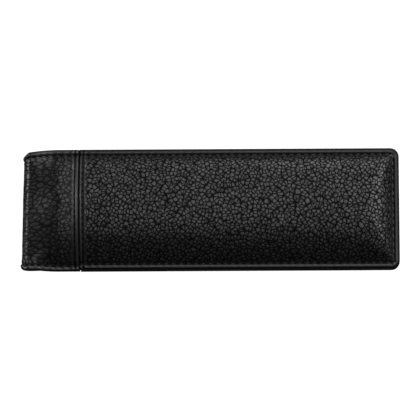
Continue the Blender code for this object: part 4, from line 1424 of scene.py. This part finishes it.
class PENCASE_OT_stage(bpy.types.Operator):
    """Set the floor, the soft lights and the camera"""

    bl_idname = "pencase.stage"
    bl_label = "Studio Stage"

    def execute(self, context):
        look = context.scene.pen_stage
        low, high = BOUNDS_OF_FRAME
        middle = (Vector(low) + Vector(high)) / 2
        steps = np.linspace(-1, 1, 41)
        x, y = np.meshgrid(steps * look.floor_reach, steps * look.floor_reach)
        z = np.full(x.shape, low.z - look.floor_gap)
        index = np.arange(x.size).reshape(x.shape)
        mesh = bpy.data.meshes.new("studio_floor")
        points = np.stack((x, y, z), axis=-1).reshape(-1, 3)
        mesh.from_pydata(points, [], quads_between(index[:-1], index[1:]))
        floor = bpy.data.objects.new("studio_floor", mesh)
        context.scene.collection.objects.link(floor)
        mesh.materials.append(floor_material())

        middle_of_case, open_end, closed_end = (0, 0, 0.01), (-0.08, 0, 0.01), (0.08, 0, 0.01)
        for name, place, target, width, height, strength in (
            ("key_softbox", (0.12, 0.48, 0.70), middle_of_case, 0.75, 0.7, 0.42),
            ("top_softbox", (0.12, -0.08, 0.95), middle_of_case, 0.65, 0.6, 0.36),
            ("sweep_glow", (0.40, 0.90, 0.24), middle_of_case, 0.9, 0.45, 0.9),
            ("left_rim", (-0.60, 0.14, 0.02), open_end, 0.06, 0.4, 0.4),
            ("right_fill", (0.60, 0.20, 0.38), closed_end, 0.45, 0.45, 0.5),
        ):
            area_light(name, place, target, width, height, look.key * strength)
        world = bpy.data.worlds.new("studio_air")
        world.use_nodes = True
        air = world.node_tree.nodes["Background"]
        air.inputs["Color"].default_value = (1, 1, 1, 1)
        air.inputs["Strength"].default_value = 0.04
        context.scene.world = world
        context.scene.view_settings.view_transform = "Standard"

        data = bpy.data.cameras.new("studio_camera")
        data.lens = data.sensor_width * look.distance / look.seen_width
        data.clip_start = 0.01
        camera = bpy.data.objects.new("studio_camera", data)
        context.scene.collection.objects.link(camera)
        aim = Vector((middle.x, middle.y, look.aim_height))
        back_along = Vector((0, -math.cos(look.elevation), math.sin(look.elevation)))
        camera.location = aim + back_along * look.distance
        camera.rotation_euler = (math.pi / 2 - look.elevation, 0, 0)
        camera.rotation_euler.rotate(Quaternion(back_along, look.roll))
        context.scene.camera = camera
        return {"FINISHED"}


GROUPS = (
    ("pen_pouch", PouchSizes),
    ("pen_edges", EdgeSizes),
    ("pen_flap", FlapSizes),
    ("pen_thread", ThreadSizes),
    ("pen_leather", LeatherLook),
    ("pen_lining", LiningLook),
    ("pen_stage", StageLook),
)
STEPS = (
    PENCASE_OT_pouch,
    PENCASE_OT_flap,
    PENCASE_OT_mouth,
    PENCASE_OT_stitching,
    PENCASE_OT_hidden,
    PENCASE_OT_stage,
)


class PENCASE_PT_panel(bpy.types.Panel):
    """Sizes, colours and steps of the pen case"""

    bl_idname = "PENCASE_PT_panel"
    bl_label = "Pen Case"
    bl_space_type = "VIEW_3D"
    bl_region_type = "UI"
    bl_category = "Pen Case"

    def draw(self, context):
        for step in STEPS:
            self.layout.operator(step.bl_idname)
        for name, group in GROUPS:
            box = self.layout.box()
            for label in group.__annotations__:
                box.prop(getattr(context.scene, name), label)


def register():
    for name, group in GROUPS:
        bpy.utils.register_class(group)
        setattr(bpy.types.Scene, name, PointerProperty(type=group))
    for step in (*STEPS, PENCASE_PT_panel):
        bpy.utils.register_class(step)


def unregister():
    for step in reversed((*STEPS, PENCASE_PT_panel)):
        bpy.utils.unregister_class(step)
    for name, group in reversed(GROUPS):
        delattr(bpy.types.Scene, name)
        bpy.utils.unregister_class(group)


def main():
    """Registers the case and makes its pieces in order."""
    register()
    pebble_group()
    twist_group()
    weave_group()
    for step in STEPS:
        getattr(bpy.ops.pencase, step.bl_idname.split(".")[1])()


if __name__ == "__main__":
    main()
